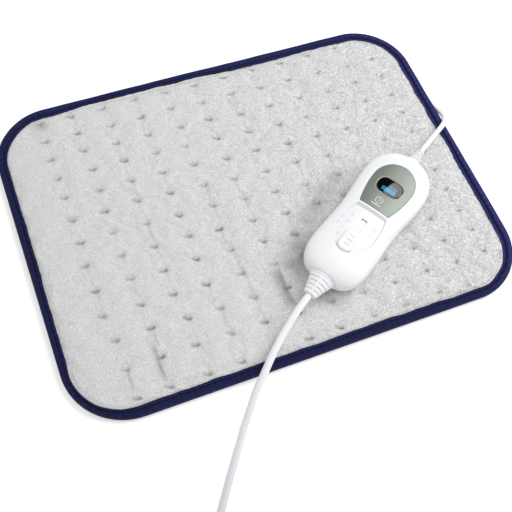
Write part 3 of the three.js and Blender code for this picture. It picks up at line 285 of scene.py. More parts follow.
def dress(material, *names):
    """Gives CAD nodes that stay in sight or inside their own material."""
    for name in names:
        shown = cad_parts[name]
        if shown.material_slots:
            shown.material_slots[0].material = material
        else:
            shown.data.materials.append(material)


def moulded(name, colour, dull, grain, coat=0.0, metal=0.0):
    """A moulded, drawn or plated surface: one colour with a faint mottle, and a grain in millimetres.

    Real grains are finer, and are drawn 0.4 mm or more across so that they show.
    """
    material, tree, place = new_finish(name)
    darker = [c * 0.97 for c in linear(colour)[:3]] + [1]
    pits = speckle(tree, place, grain, Detail=2)
    surface(tree, {
        "Base Color": between(tree, speckle(tree, place, 12, Detail=3), darker, colour),
        "Roughness": ranged(tree, pits, dull * 0.88, min(dull * 1.12, 1)),
        "Normal": bumps(tree, pits, 0.12, 0.15 * grain),
        "Metallic": metal, "Coat Weight": coat, "Coat Roughness": 0.08})
    return material


# Wadding and bonded sheet: matt and fibrous, with fibres drawn thicker than they are so that they show.
for name, size, colours, nodes in (
        ("needled_polyester_wadding", 2, ("#e4e1d8", "#faf8f2"), ("lower_wadding", "upper_wadding")),
        ("bonded_carrier_sheet", 0.8, ("#d3c9ae", "#e9e1cc"), ("element_carrier",))):
    bonded, tree, place = new_finish(name)
    fibres = speckle(tree, place, size, Detail=5, Distortion=1.5)
    surface(tree, {
        "Base Color": between(tree, fibres, *colours), "Roughness": 0.95,
        "Normal": bumps(tree, fibres, 0.5, 0.3 * size)})
    dress(bonded, *nodes)
# Silicone: smooth, half-dull cream.
dress(moulded("silicone_wire_jacket", "#d8cdb9", 0.4, 0.6), "heating_wire")

# Plush top cover: short-pile polyester plush over wadding, tacked down through all the layers, so that it
# swells between the tacks. It is inflated as cloth held at the tacks and the seam, then given its pile.

# Plush: matt pale grey with a nap of light and dark tufts. They are finer than a millimetre and are drawn
# 1.15 mm across to show. Broad strokes, more of them on the right, show where the pile was brushed. Painted
# shade darkens the pile where it is pressed down and in the tack hollows, creases and folds, and painted
# shadows darken it beside the controller.
plush, tree, place = new_finish("short_pile_plush")
along_pad = add(tree, "ShaderNodeSeparateXYZ", {0: place}).outputs["X"]
nap = speckle(tree, place, 1.15, Detail=3, Roughness=0.6)
tufts = between(tree, ranged(tree, nap, 0, 1, start=0.3, end=0.7), "#adadad", "#f2f2f2")
open_pile = ranged(tree, along_pad, 0.55, 1, start=-0.08, end=0.14)
napped = between(tree, open_pile, "#d2d2d2", tufts)
strokes = speckle(tree, place, 7, Detail=4, Distortion=2.5)
brushed = ranged(tree, strokes, 0.74, 1.09, start=0.3, end=0.7)
ruffled = ranged(tree, along_pad, 0.25, 1, start=-0.06, end=0.16)
toned = between(tree, ruffled, napped, brushed, blend_type="MULTIPLY")
# Painted shade and shadow, with some crushed pile: a value at each point darkens the pile towards grey.
pressed_down = add(tree, "ShaderNodeAttribute", attribute_name="pressed").outputs["Fac"]
surface(tree, {
    "Base Color": between(tree, pressed_down, toned, "#6a6a6a"), "Roughness": 0.95, "Specular IOR Level": 0.1,
    "Sheen Weight": 0.25, "Sheen Roughness": 0.5, "Normal": bumps(tree, nap, 0.6, 0.6)})

cover_inset, cover_columns, cover_rows = tape_width - 0.6, 161, 119
x, y = pad_grid(cover_inset, cover_columns, cover_rows)
edge = np.maximum(from_edge(x, y) - cover_inset, 0)
near = from_tack(x, y)
z = 7 + 3.5 * (1 - np.exp(-edge / 5))
z -= (z - 8.6) * np.exp(-(near / 3.5) ** 2) * (edge > 3)
shape = np.stack([x, y, z], -1)
slack = piece("slack_cover", shape, quads(cover_rows, cover_columns), plush, closed=False)
border = np.zeros((cover_rows, cover_columns), bool)
border[[0, -1]] = border[:, [0, -1]] = True
held = slack.vertex_groups.new(name="held")
held.add([int(i) for i in np.flatnonzero((border | (near < 1.9)).ravel())], 1.0, "REPLACE")
swell = slack.modifiers.new("swell", "CLOTH")
cloth = swell.settings
cloth.vertex_group_mass = "held"
cloth.quality = 8
cloth.mass = 0.3
cloth.tension_stiffness = cloth.compression_stiffness = 8
cloth.shear_stiffness = 3
cloth.bending_stiffness = 0.5
cloth.use_pressure = True
cloth.uniform_pressure_force = 1.6
cloth.shrink_min = -0.012
cloth.effector_weights.gravity = 0
swell.collision_settings.use_collision = False
settling_frames = 20
for step in range(settling_frames):
    scene.frame_set(step + 1)
view = bpy.context.evaluated_depsgraph_get()
swollen = np.array([v.co for v in slack.evaluated_get(view).data.vertices]).reshape(shape.shape) / MM
most_swell = 3
shape = shape + np.clip(swollen - shape, -most_swell, most_swell)
scene.frame_set(1)
bpy.data.objects.remove(slack)


def finer(grid):
    """Twice as many rows of points, on a smooth line through those there are."""
    padded = np.concatenate([2 * grid[:1] - grid[1:2], grid, 2 * grid[-1:] - grid[-2:-1]])
    middle = (9 * (padded[1:-2] + padded[2:-1]) - padded[:-3] - padded[3:]) / 16
    doubled = np.empty((2 * len(grid) - 1,) + grid.shape[1:])
    doubled[::2], doubled[1::2] = grid, middle
    return doubled


def rough(x, y, grain, seed):
    """Smooth noise from -1 to 1 over the pad, with lumps of about that many millimetres."""
    flat = [noise.noise((a / grain, b / grain, seed)) for a, b in zip(x.ravel(), y.ravel())]
    return np.array(flat).reshape(x.shape)


def wander(x, y):
    """How much further in the seam runs than its even line, round the pad and from place to place."""
    back = np.interp(x, (-140, -112, 0, 28, 75, 95, 120, 135), (0, -3.2, -3, 0, 0, -0.9, -0.9, 0))
    back *= np.clip((y - 90) / 30, 0, 1)
    front = np.interp(x, (120, 160), (0.5, -0.3)) * np.clip((-y - 110) / 20, 0, 1)
    left = np.interp(y, (-120, -60, 0, 60), (-1.5, -0.8, 0.2, 1)) * np.clip((-x - 160) / 20, 0, 1)
    right = np.interp(y, (-100, -60, 0, 30), (0, -0.9, -0.9, 0)) * np.clip((x - 160) / 20, 0, 1)
    return back + front + left + right + 0.9 * rough(x, y, 15, 6.5)


shape = finer(finer(shape).swapaxes(0, 1)).swapaxes(0, 1)
x, y, z = np.moveaxis(shape, -1, 0).copy()
edge = np.maximum(from_edge(x, y) - cover_inset, 0)
from_rim = [(from_edge(x + a, y + b) - from_edge(x - a, y - b)) / 0.2 for a, b in ((0.1, 0), (0, 0.1))]
waved = wander(x, y) * np.exp(-edge / 6)
x, y = x + from_rim[0] * waved, y + from_rim[1] * waved
crown, crown_room = 11.2, 0.75
z = np.where(z > crown, crown + crown_room * np.tanh((z - crown) / crown_room), z)

# Each tack leaves a short tail and a dark core, and some a crease towards the next tack in front: shallow
# hollows darkened with painted shade. There are also three folds, with painted shade down their slopes, and a
# number of dark spots, most of them beside the controller: painted shadows there and below the mains boot,
# and one smudge near the left back corner.
pressed = np.zeros(x.shape)
tack_turn = -0.3
chance = np.random.default_rng(5).normal(0, 0.17, (3, len(column)))[:, clear_of_tape]
for (tack_x, tack_y), turn, strong, far in zip(tacks, *chance):
    turn += tack_turn
    small = 1 - 0.55 * np.clip((tack_x - 20) / 100, 0, 1)
    along = (x - tack_x) * math.cos(turn) + (y - tack_y) * math.sin(turn)
    across = (y - tack_y) * math.cos(turn) - (x - tack_x) * math.sin(turn)
    tail = small * np.exp(-((along + 1.2) / 3.4) ** 4 - (across / 1.4) ** 2)
    core = np.exp(-((along - 1.9) / 1.3) ** 2 - ((across - 0.3) / 1.1) ** 2)
    crease = np.exp(-((x - tack_x - 0.6) / 0.9) ** 2) * np.exp(-((y - tack_y + 10) / 8) ** 4)
    crease *= np.clip((90 - tack_y) / 90, 0.25, 1)
    z -= (0.9 * tail + 0.7 * core + 0.25 * crease * (1 + 3 * far)) * (edge > 2)
    pressed = np.maximum(pressed, np.maximum(tail * (0.48 + 0.7 * strong), core * (0.82 + strong)))
    pressed = np.maximum(pressed, crease * (0.08 + far))
for fold_x, far_y, near_y, dark, spread in (
        (-125, -100, -131, 0.5, 3), (-35, -40, -106, 0.2, 2), (-7, -70, -106, 0.6, 8)):
    side = x - fold_x - 0.8 * rough(x, y, 9, 2.5)
    fold = np.exp(-(side / np.where(side < 0, spread, 0.9)) ** 2)
    fold *= np.exp(-((y - (far_y + near_y) / 2) / ((far_y - near_y) / 2)) ** 6)
    z -= 1.6 * dark * fold
    pressed = np.maximum(pressed, dark * fold)
# Painted shadows on the pile beside the controller and below its mains boot, and one dark smudge near the
# left back corner.
for spot_x, spot_y, dark, reach in (
        (6, -71, 0.5, 9), (16, -58, 0.48, 10), (24, -47, 0.32, 9), (34, -35, 0.3, 9), (43, -27, 0.36, 9),
        (52, -19, 0.3, 9), (62, -12, 0.3, 9), (74, -5, 0.36, 9), (20, -107, 0.34, 8), (-154, 129, 0.38, 6)):
    shade_and_smudge = np.exp(-((x - spot_x) ** 2 + (y - spot_y) ** 2) / reach ** 2)
    pressed = 1 - (1 - pressed) * (1 - dark * shade_and_smudge * (1 + 0.5 * rough(x, y, 8, 7.5)))
z += (0.12 * rough(x, y, 2.4, 1.5) + 0.08 * rough(x, y, 7, 4.5)) * np.clip(edge / 2, 0, 1)
z += (0.1 + 0.5 * rough(x, y, 2.6, 9.5)) * np.exp(-(edge / 1.6) ** 2) * np.clip(edge / 0.9, 0, 1)
z = np.where(edge > 3, np.maximum(z, 7.4), z)
highest = 12.05
shape = np.stack([x, y, np.minimum(z, highest)], -1)
cover = piece("plush_cover", shape, quads(*x.shape), plush, closed=False, pressed=np.clip(pressed, 0, 1))
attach(cover, "pad")
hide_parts("top_cover")

# Pile at the seam: loose plush fibres that stand over the tape's inner edge, all round the pad.
# They are short tapered hairs of the same polyester.


def grow(name, base, tree, **sizes):
    """Runs a node tree on a mesh of points, lines or faces, and keeps what it makes as a plain mesh."""
    obj = bpy.data.objects.new(name, base)
    scene.collection.objects.link(obj)
    growth = obj.modifiers.new(name, "NODES")
    growth.node_group = tree
    for item in tree.interface.items_tree:
        if item.item_type == "SOCKET" and item.in_out == "INPUT" and item.name in sizes:
            growth[item.identifier] = sizes[item.name]
    view = bpy.context.evaluated_depsgraph_get()
    mesh = bpy.data.meshes.new_from_object(obj.evaluated_get(view))
    obj.modifiers.remove(growth)
    obj.data = mesh
    return obj


def new_tree(name, **inputs):
    """A geometry tree with one geometry input, named inputs for its sizes, and one geometry output."""
    tree = bpy.data.node_groups.new(name, "GeometryNodeTree")
    tree.interface.new_socket("base", in_out="INPUT", socket_type="NodeSocketGeometry")
    for label, kind in inputs.items():
        tree.interface.new_socket(label, in_out="INPUT", socket_type="NodeSocket" + kind)
    tree.interface.new_socket("made", in_out="OUTPUT", socket_type="NodeSocketGeometry")
    return tree, add(tree, "NodeGroupInput").outputs


def made_of(tree, laid, finish, smooth=False):
    """Ends a geometry tree: the copies it has laid become one mesh of one material."""
    mesh = add(tree, "GeometryNodeRealizeInstances", {0: laid.outputs[0]})
    if smooth:
        mesh = add(tree, "GeometryNodeSetShadeSmooth", {"Geometry": mesh.outputs[0]})
    made = add(tree, "GeometryNodeSetMaterial", {"Geometry": mesh.outputs[0], "Material": finish})
    add(tree, "NodeGroupOutput", {0: made.outputs[0]})


hairs, given = new_tree("seam_pile", density="Float", length="Float", width="Float")
rooted = add(hairs, "GeometryNodeDistributePointsOnFaces", {
    "Mesh": given["base"], "Density": given["density"], "Seed": 11})
lean = add(hairs, "FunctionNodeRandomValue", {0: (-0.9, -0.9, 0), 1: (0.9, 0.9, 6.28), "Seed": 4},
           data_type="FLOAT_VECTOR")
leaning = add(hairs, "FunctionNodeRotateRotation", {
    "Rotation": rooted.outputs["Rotation"], "Rotate By": lean.outputs[0]}, rotation_space="LOCAL")
hair = add(hairs, "GeometryNodeMeshCone", {
    "Vertices": 3, "Radius Top": 0.0, "Radius Bottom": given["width"], "Depth": given["length"]},
    fill_type="NONE")
tall = add(hairs, "FunctionNodeRandomValue", {2: 0.5, 3: 1.2, "Seed": 8}, data_type="FLOAT")
pile = add(hairs, "GeometryNodeInstanceOnPoints", {
    "Points": rooted.outputs["Points"], "Instance": hair.outputs["Mesh"], "Rotation": leaning.outputs[0],
    "Scale": tall.outputs[1]})
made_of(hairs, pile, plush)

pile_from, pile_to = tape_width + 0.2, tape_width + 1.9
rooting = cover.data.copy()
strip = bmesh.new()
strip.from_mesh(rooting)
middles = np.array([face.calc_center_median() for face in strip.faces]) / MM
inside = from_edge(middles[:, 0], middles[:, 1])
bare = [face for face, depth in zip(strip.faces, inside) if not pile_from < depth < pile_to]
bmesh.ops.delete(strip, geom=bare, context="FACES")
strip.to_mesh(rooting)
strip.free()
fringe = grow("seam_pile", rooting, hairs, density=3e6, length=1 * MM, width=0.12 * MM)
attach(fringe, "pad")

# Tacks: short bars of grey polyester thread, two strands each, that hold the cover, the wadding and the
# backing together. They lie at the bottom of their hollows on the top and show again underneath.

# Spun thread: dull grey with slanting light and dark turns, drawn 3 mm apart, as the real twist is too fine.
thread, tree, place = new_finish("spun_polyester_thread")
twist = banded(tree, place, 3.142, "DIAGONAL")
surface(tree, {"Base Color": between(tree, twist, "#8d8d90", "#b5b5b8"), "Roughness": 0.7})

bars, given = new_tree("beads_at_points", bead="Vector", turn="Float", finish="Material")
spin = add(bars, "FunctionNodeRandomValue", {2: -0.15, 3: 0.15, "Seed": 2}, data_type="FLOAT")
angle = add(bars, "ShaderNodeMath", {0: spin.outputs[1], 1: given["turn"]}, operation="ADD")
facing = add(bars, "ShaderNodeCombineXYZ", {"Z": angle.outputs[0]})
bead = add(bars, "GeometryNodeMeshUVSphere", {"Segments": 10, "Rings": 6, "Radius": 0.5})
laid = add(bars, "GeometryNodeInstanceOnPoints", {
    "Points": given["base"], "Instance": bead.outputs["Mesh"], "Rotation": facing.outputs[0],
    "Scale": given["bead"]})
made_of(bars, laid, given["finish"], smooth=True)


def point_mesh(name, points, joined=False):
    """A mesh of bare points in millimetres, or of one line through them."""
    mesh = bpy.data.meshes.new(name)
    lines = [(i, i + 1) for i in range(len(points) - 1)] if joined else []
    mesh.from_pydata((np.asarray(points, float) * MM).tolist(), lines, [])
    return mesh


settled = shape.reshape(-1, 3)
strands = []
for tack_x, tack_y in tacks:
    low = settled[np.argmin(np.hypot(settled[:, 0] - tack_x, settled[:, 1] - tack_y)), 2]
    on_cover, under_backing = low + 0.1, 0.95
    strands += [(tack_x, tack_y + beside, height)
                for beside in (-0.75, 0.15) for height in (on_cover, under_backing)]
tack_thread = grow("tack_threads", point_mesh("tacks", strands), bars,
                   bead=(4.6 * MM, 0.45 * MM, 0.45 * MM), turn=tack_turn, finish=thread)
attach(tack_thread, "pad")

# Edge binding: navy polyester tape, folded over the raw edge of all the layers with its own edges turned
# in, and sewn through with one line of stitches close to its inner edge.


def rim(step):
    """Places round the pad's edge, about a step apart, each with the direction out of the pad."""
    places = []
    reach_x, reach_y = pad_half - pad_corner
    corners = (reach_x, reach_y), (-reach_x, reach_y), (-reach_x, -reach_y), (reach_x, -reach_y)
    for turn, centre in enumerate(corners):
        arc, run = round(pad_corner * math.pi / 2 / step), 2 * (reach_y if turn % 2 else reach_x)
        for i in range(arc):
            angle = math.pi / 2 * (turn + i / arc)
            places.append((np.array(centre), np.array((math.cos(angle), math.sin(angle)))))
        angle = math.pi / 2 * (turn + 1)
        out = np.array((math.cos(angle), math.sin(angle)))
        ahead = np.array((-out[1], out[0]))
        count = round(run / step)
        places += [(np.array(centre) + ahead * run * i / count, out) for i in range(count)]
    return [(centre + pad_corner * out, out) for centre, out in places]


# Woven tape: matt navy, with painted light and shade: paler where its roll and its lip face the lamps, most
# on the right and back of the pad, and darker in the stitched groove and at its edges. Its threads are too
# fine to show, so a faint crossing of bands about 6 mm apart stands for them.
tape, tree, place = new_finish("navy_polyester_tape")
ribs = [banded(tree, place, 5.655, way, Distortion=0.8, Detail=1) for way in ("X", "Y")]
crossing = add(tree, "ShaderNodeMath", {0: ribs[0], 1: ribs[1]}, operation="MULTIPLY").outputs[0]
worn = add(tree, "ShaderNodeMath", {
    0: crossing, 1: speckle(tree, place, 9, Detail=3), 2: 0.1}, operation="MULTIPLY_ADD").outputs[0]
dyed = between(tree, worn, "#14163e", "#252759")
faded = add(tree, "ShaderNodeAttribute", attribute_name="faded").outputs["Fac"]
surface(tree, {
    "Base Color": between(tree, 1.0, dyed, faded, blend_type="MULTIPLY"), "Roughness": 0.7,
    "Specular IOR Level": 0.15, "Normal": bumps(tree, crossing, 0.45, 0.2)})


def hooped(loops):
    """Points and faces of a ring through outlines of equally many points, the last joined to the first."""
    return np.vstack(loops), quads(len(loops), len(loops[0]), round_rows=True, round_columns=True)


# The tape's section runs from its lower edge round the roll to its upper edge and back along its inside, as
# insets from the pad's edge and heights.
roll = 3.8
roll_angles = np.radians(np.linspace(-80, 80, 15))
rolled = [(0.62 * roll * (1 - math.cos(a)), roll * (1 + math.sin(a))) for a in roll_angles]
section = np.array([
    (9.9, 1.15), (10, 0.6), (9.7, 0.15), (9.1, 0.02), (8.5, 0.2), (7.9, 0.75), (7.3, 0.2), (6.2, 0), (4, 0),
    *rolled,
    (3.2, 7.78), (4.2, 7.8), (5, 7.6), (5.5, 7.25), (5.9, 6.7), (6.3, 6.2), (6.7, 6.75), (7.1, 7.25),
    (7.7, 7.6), (8.5, 7.72), (9.2, 7.65), (9.7, 7.45), (10, 7),
    (9.9, 6.45), (8.6, 5.9), (6.3, 5.4), (4.6, 5.8), (2, 5), (1.2, 3.8), (2, 2.4), (4, 1.6), (7.9, 1.6)])
shifted_part = (2.5, 7.9)
shifted = np.interp(section[:, 0], shifted_part, (0, 1))
on_top = section[:, 1] > 3.7
rim_places = rim(3)
seam_line = np.array([at - out * tape_width + seam_shift for at, out in rim_places])
widen = 1 + wander(*seam_line.T) / tape_width
tape_rings, light_and_shade_rows = [], []
for (at, out), wide, high in zip(rim_places, widen, rough(*seam_line.T, 22, 0.5)):
    inset = section[:, 0] * np.where(on_top, wide, 1)
    height = section[:, 1] + 0.4 * high * (section[:, 1] > 5)
    flat = at - out * inset[:, None] + seam_shift * shifted[:, None]
    tape_rings.append(np.column_stack([flat, np.maximum(height, 0.02)]))
    # Painted light on the roll and the lip, brighter on the sides facing the lamps; painted shade in the
    # groove and at the tape's edges.
    on_roll = 1.05 + 0.6 * out[0] + 0.22 * out[1] + 0.38 * out[0] ** 2
    on_lip = 1.12 + 0.42 * out[0] + 0.1 * out[1] + 0.39 * out[0] ** 2
    light_and_shade_rows.append(np.interp(section[:, 0], (0, 2, 4.4, 5.4, 6.3, 6.9, 7.6, 9, 9.7, 10), (
        on_roll, on_roll + 0.15, on_roll, 0.85, 0.5, 0.85, on_lip, on_lip, 0.7, 0.5)))
binding = piece("edge_tape", *hooped(tape_rings), tape, faded=light_and_shade_rows)
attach(binding, "pad")
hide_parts("edge_binding")

# Sewing thread: darker and smoother than the tape, with a turn of its twist in each stitch, drawn that coarse
# to show.
navy_thread, tree, place = new_finish("navy_sewing_thread")
twist = banded(tree, place, 2.513, "DIAGONAL")
surface(tree, {"Base Color": between(tree, twist, "#101138", "#1c1d4e"), "Roughness": 0.55})

sewn, given = new_tree("stitch_line", pitch="Float", bead="Vector", finish="Material")
path = add(sewn, "GeometryNodeMeshToCurve", {"Mesh": given["base"]})
spaced = add(sewn, "GeometryNodeResampleCurve", {
    "Curve": path.outputs[0], "Length": given["pitch"]}, mode="LENGTH")
ahead = add(sewn, "GeometryNodeInputTangent")
facing = add(sewn, "FunctionNodeAlignRotationToVector", {"Vector": ahead.outputs[0]}, axis="X")
bead = add(sewn, "GeometryNodeMeshUVSphere", {"Segments": 8, "Rings": 5, "Radius": 0.5})
laid = add(sewn, "GeometryNodeInstanceOnPoints", {
    "Points": spaced.outputs[0], "Instance": bead.outputs["Mesh"], "Rotation": facing.outputs[0],
    "Scale": given["bead"]})
made_of(sewn, laid, given["finish"], smooth=True)
for side, inset, height, wider in (("top", 6.3, 6.3, widen), ("under", 7.9, 0.68, np.ones(len(rim_places)))):
    aside = seam_shift * np.interp(inset, shifted_part, (0, 1))
    line = [(*(at - out * inset * wide + aside), height) for (at, out), wide in zip(rim_places, wider)]
    line.append(line[0])
    seam = grow("tape_stitches_" + side, point_mesh("seam", line, joined=True), sewn,
                pitch=3.2 * MM, bead=(2.5 * MM, 0.6 * MM, 0.45 * MM), finish=navy_thread)
    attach(seam, "pad")

# Lower shell: the underside of the hand controller, injection-moulded white ABS with a satin face. It stands
# on its flat bottom, and four screws in round wells draw it up against the upper shell.
controller_at = np.array((79.24, -58.06, 23.4))
controller_turn = math.radians(32.4 - 90)
parting = 0.15


def seated(points):
    """Points of the controller's own frame, x across, y towards the pad lead and z up, on the pad."""
    x, y, z = np.asarray(points, float).reshape(-1, 3).T
    c, s = math.cos(controller_turn), math.sin(controller_turn)
    return np.stack([x * c - y * s, x * s + y * c, z], 1) + controller_at


housing_end, housing_limit, shoulder, waist = 70, 71.5, 38, -6


def ease(a, b, t):
    """A soft step from a to b as t goes from 0 to 1."""
    return a + (b - a) * (1 - np.cos(np.pi * np.clip(t, 0, 1))) / 2


def end_share(y, roundness):
    """The share of its full size that the housing has at a place along it: 1 up to the shoulders."""
    past = np.clip((np.abs(y) - shoulder) / (housing_limit - shoulder), 0, 1)
    return (1 - past ** roundness) ** (1 / roundness)


def rim_pull(y):
    """The share of its size that the housing keeps at its very ends, where the rim is drawn in a little."""
    return 1 - 0.02 * np.clip((np.abs(y) - housing_end + 0.7) / 0.7, 0, 1) ** 2


def half_width(y):
    """Half the housing's width along its length: a broad head, a waist and a tail."""
    side = np.where(y < waist, ease(54.4, 56.4, (waist - y) / 32), ease(54.4, 60, (y - waist) / 44))
    return side / 2 * np.where(y < 0, end_share(y, 3), end_share(y, 2.4))


def housing_grid(flat_share, squareness, step):
    """Places along one half of the housing, with the shares of its half-width and of its height there."""
    y = np.linspace(-housing_end, housing_end, round(2 * housing_end / step) + 1)
    across = np.linspace(-flat_share, flat_share, round(2 * flat_share * 28 / step) + 1)
    flat_angle = math.acos(flat_share ** (squareness / 2))
    side = np.cos(np.linspace(0, flat_angle, 14)[:-1]) ** (2 / squareness)
    share = np.concatenate([-side, across, side[::-1]])
    height = (1 - np.minimum(np.abs(share), 1) ** squareness) ** (1 / squareness)
    return np.repeat(y[:, None], len(share), 1), share, height


def shell_faces(rows, columns):
    """Faces over a half of the housing, seen from above, with one more across each end."""
    near_end, far_end = range(columns), range((rows - 1) * columns, rows * columns)
    return quads(rows, columns) + [tuple(reversed(near_end)), tuple(far_end)]


def near_outline(points, outline):
    """How far points lie inside a closed outline (below zero outside it), and the nearest places on it."""
    far, foot, inside = np.full(len(points), np.inf), np.zeros(points.shape), np.zeros(len(points), bool)
    for a, b in zip(outline, np.roll(outline, -1, axis=0)):
        t = np.clip((points - a) @ (b - a) / ((b - a) @ (b - a)), 0, 1)
        at = a + t[:, None] * (b - a)
        gap = np.hypot(*(points - at).T)
        closer = gap < far
        far[closer], foot[closer] = gap[closer], at[closer]
        spans = (a[1] > points[:, 1]) != (b[1] > points[:, 1])
        inside ^= spans & (points[:, 0] < a[0] + (points[:, 1] - a[1]) * (b[0] - a[0]) / ((b[1] - a[1]) or 1))
    return np.where(inside, far, -far), foot


def fitted(xy, outline, reach):
    """Draws the points next to an outline on to it, and says how far inside it each of the points lies."""
    depth, foot = near_outline(xy, outline)
    close = np.abs(depth) < reach
    xy[close] = foot[close]
    return np.where(close, 0, depth)


def circle(centre, radius, count=32):
    """The points of a circle."""
    angles = np.arange(count) * 2 * np.pi / count
    return np.array(centre) + radius * np.stack([np.cos(angles), np.sin(angles)], 1)


def half_shell(name, xyz, faces, material, thickness):
    """A thin-walled half of the housing, its wall inside the given outer face."""
    obj = piece(name, seated(xyz), faces, material, closed=False)
    wall = obj.modifiers.new("wall", "SOLIDIFY")
    wall.thickness, wall.offset = thickness * MM, -1
    return obj


# Moulded ABS: bright, satin white with a soft highlight.
abs_white = moulded("satin_white_abs", "#eeeff1", 0.3, 0.8, coat=0.12)
screw_places = [(-17, -49), (-19, 45), (17, -49), (19, 45)]
lower_depth, lower_bulge, well_radius, well_depth = 11, 12, 3.2, 2.5
y, share, height = housing_grid(0.8, 3.2, 0.7)
xy = np.stack([half_width(y) * share * rim_pull(y), y], -1).reshape(-1, 2)
bottom_outline = np.array([(-24, -60), (24, -60), (24, 60), (-24, 60)])
flat = near_outline(xy, bottom_outline)[0] > 0
depth = np.minimum(lower_bulge * end_share(y, 4) * height * rim_pull(y), lower_depth).ravel()
for screw_place in screw_places:
    well = fitted(xy, circle(screw_place, well_radius), 0.4)
    depth = np.where(flat & (well > 0), lower_depth - well_depth, depth)
faces = [f[::-1] for f in shell_faces(*y.shape)]
lower = half_shell("lower_housing", np.column_stack([xy, -depth - parting]), faces, abs_white, 2)
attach(lower, "controller")
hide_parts("lower_shell")

# Housing screws: four zinc-plated steel screws with pan heads and a cross slot, driven up through the lower
# shell. Only their heads show, at the bottom of the wells. Zinc plating is a bluish, half-bright metal.
zinc = moulded("zinc_plated_steel", "#b9bcc2", 0.32, 0.5, metal=1.0)
head_radius, head_height, slot_depth, head_rows = 2.8, 1.7, 0.8, 25
u, v = np.meshgrid(np.linspace(-1, 1, head_rows), np.linspace(-1, 1, head_rows))
disc_x, disc_y = u * np.sqrt(1 - v ** 2 / 2), v * np.sqrt(1 - u ** 2 / 2)
cross_slot = (np.minimum(np.abs(disc_x), np.abs(disc_y)) < 0.13) & (np.hypot(disc_x, disc_y) < 0.62)
dome = head_height * np.sqrt(np.clip(1 - 0.62 * (disc_x ** 2 + disc_y ** 2), 0, 1)) - slot_depth * cross_slot
dome[[0, -1]] = dome[:, [0, -1]] = 0
head = np.stack([disc_x * head_radius, disc_y * head_radius, dome], -1).reshape(-1, 3)
screw = piece("screw_head", head * (1, -1, -1), quads(head_rows, head_rows), zinc, closed=False, sharp=40)

repeats, given = new_tree("set_at_points", unit="Object")
unit = add(repeats, "GeometryNodeObjectInfo", {"Object": given["unit"]})
laid = add(repeats, "GeometryNodeInstanceOnPoints", {
    "Points": given["base"], "Instance": unit.outputs["Geometry"]})
made_of(repeats, laid, zinc)
seat_height = -lower_depth + well_depth - parting - 0.05
seats = seated([(*screw_place, seat_height) for screw_place in screw_places])
screws = grow("housing_screws", point_mesh("screw_places", seats), repeats, unit=screw)
bpy.data.objects.remove(screw)
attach(screws, "controller")
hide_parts("housing_screw_1", "housing_screw_2", "housing_screw_3", "housing_screw_4")

# Inside the controller: a green coated board with the light box, slide switch, capacitors, chip, triac,
# fuse, terminals and the cores of both leads. Their solids stay, each with its own moulded or dipped finish.

# Coated laminate: smooth, half-glossy green with a pattern of tracks.
board_green, tree, place = new_finish("coated_board_laminate")
tracks = add(tree, "ShaderNodeTexBrick", {
    "Vector": place, "Color1": linear("#1b6a31"), "Color2": linear("#237a3a"), "Mortar": linear("#12512a"),
    "Scale": 1 / (6 * MM), "Mortar Size": 0.06})
surface(tree, {"Base Color": tracks.outputs["Color"], "Roughness": 0.35})
dress(board_green, "circuit_board")

# Moulded parts are half dull, boxed and dipped films are glossier, and the cores' insulation lies between.
white_part = moulded("moulded_white_abs", "#f4f4f1", 0.5, 0.7)
black_part = moulded("moulded_black_plastic", "#1d1d1f", 0.5, 0.6)
dress(white_part, "display_light_box", "switch_slider", "mains_terminal", "lead_terminal")
dress(black_part, "switch_body", "control_chip", "power_triac", "smoothing_capacitor")
dress(moulded("yellow_boxed_film", "#d9b13a", 0.35, 1.2), "suppression_capacitor")
dress(moulded("blue_dipped_film", "#2f58a0", 0.25, 1.5, coat=0.4), "dropper_capacitor")
dress(moulded("brown_core_insulation", "#6b4128", 0.45, 0.8), "mains_core_1", "lead_core_1")
dress(moulded("blue_core_insulation", "#2d62ad", 0.45, 0.8), "mains_core_2", "lead_core_2")

# Fuse glass: clear and bright, with a faint green tinge that comes and goes along it.
glass, tree, place = new_finish("clear_fuse_glass")
surface(tree, {
    "Base Color": between(tree, speckle(tree, place, 5), "#d2dad8", "#e6ecea"), "Roughness": 0.06,
    "Transmission Weight": 0.8, "IOR": 1.48})
dress(glass, "mains_fuse")

# Upper shell: the face of the controller, in the same satin white ABS. It has a recess for the display
# plate, a ramp below it, and a sunk panel with the slot of the slide switch.
upper_height = 14


def face_height(x, y):
    """Height of the upper shell's crowned face, without its recesses."""
    share = np.clip(np.abs(x) / half_width(y), 0, 1)
    return upper_height * end_share(y, 4) * (1 - share ** 2.6) ** (1 / 2.6)


def bend(*handles, count=14):
    """Points of a Bezier curve with three or four handles, without its last point."""
    t = np.linspace(0, 1, count, endpoint=False)[:, None]
    handles = np.array(handles, float)[:, None]
    while len(handles) > 1:
        handles = handles[:-1] * (1 - t) + handles[1:] * t
    return handles[0]


def plate_outline(grow_by=0.0):
    """The display plate's outline: a straight foot, swelling sides and a half-elliptic top."""
    foot, half, bottom, top = 14.25 + grow_by, 19.2 + grow_by, 3.3 - grow_by, 34.5
    angles = np.linspace(0, np.pi, 48, endpoint=False)[:, None]
    return np.vstack([
        [(-foot, bottom)], bend((foot, bottom), (half, 18.9), (half, top)),
        np.hstack([half * np.cos(angles), top + (20.5 + grow_by) * np.sin(angles)]),
        bend((-half, top), (-half, 18.9), (-foot, bottom))])


def rounded_rectangle(width, length, corner, centre=(0, 0), count=10):
    """The points of a rectangle with round corners."""
    points = []
    for turn, (side_x, side_y) in enumerate(((1, 1), (-1, 1), (-1, -1), (1, -1))):
        angles = np.radians(np.linspace(90 * turn, 90 * turn + 90, count))
        points.append(np.stack([side_x * (width / 2 - corner) + corner * np.cos(angles),
                                side_y * (length / 2 - corner) + corner * np.sin(angles)], 1))
    return np.vstack(points) + centre


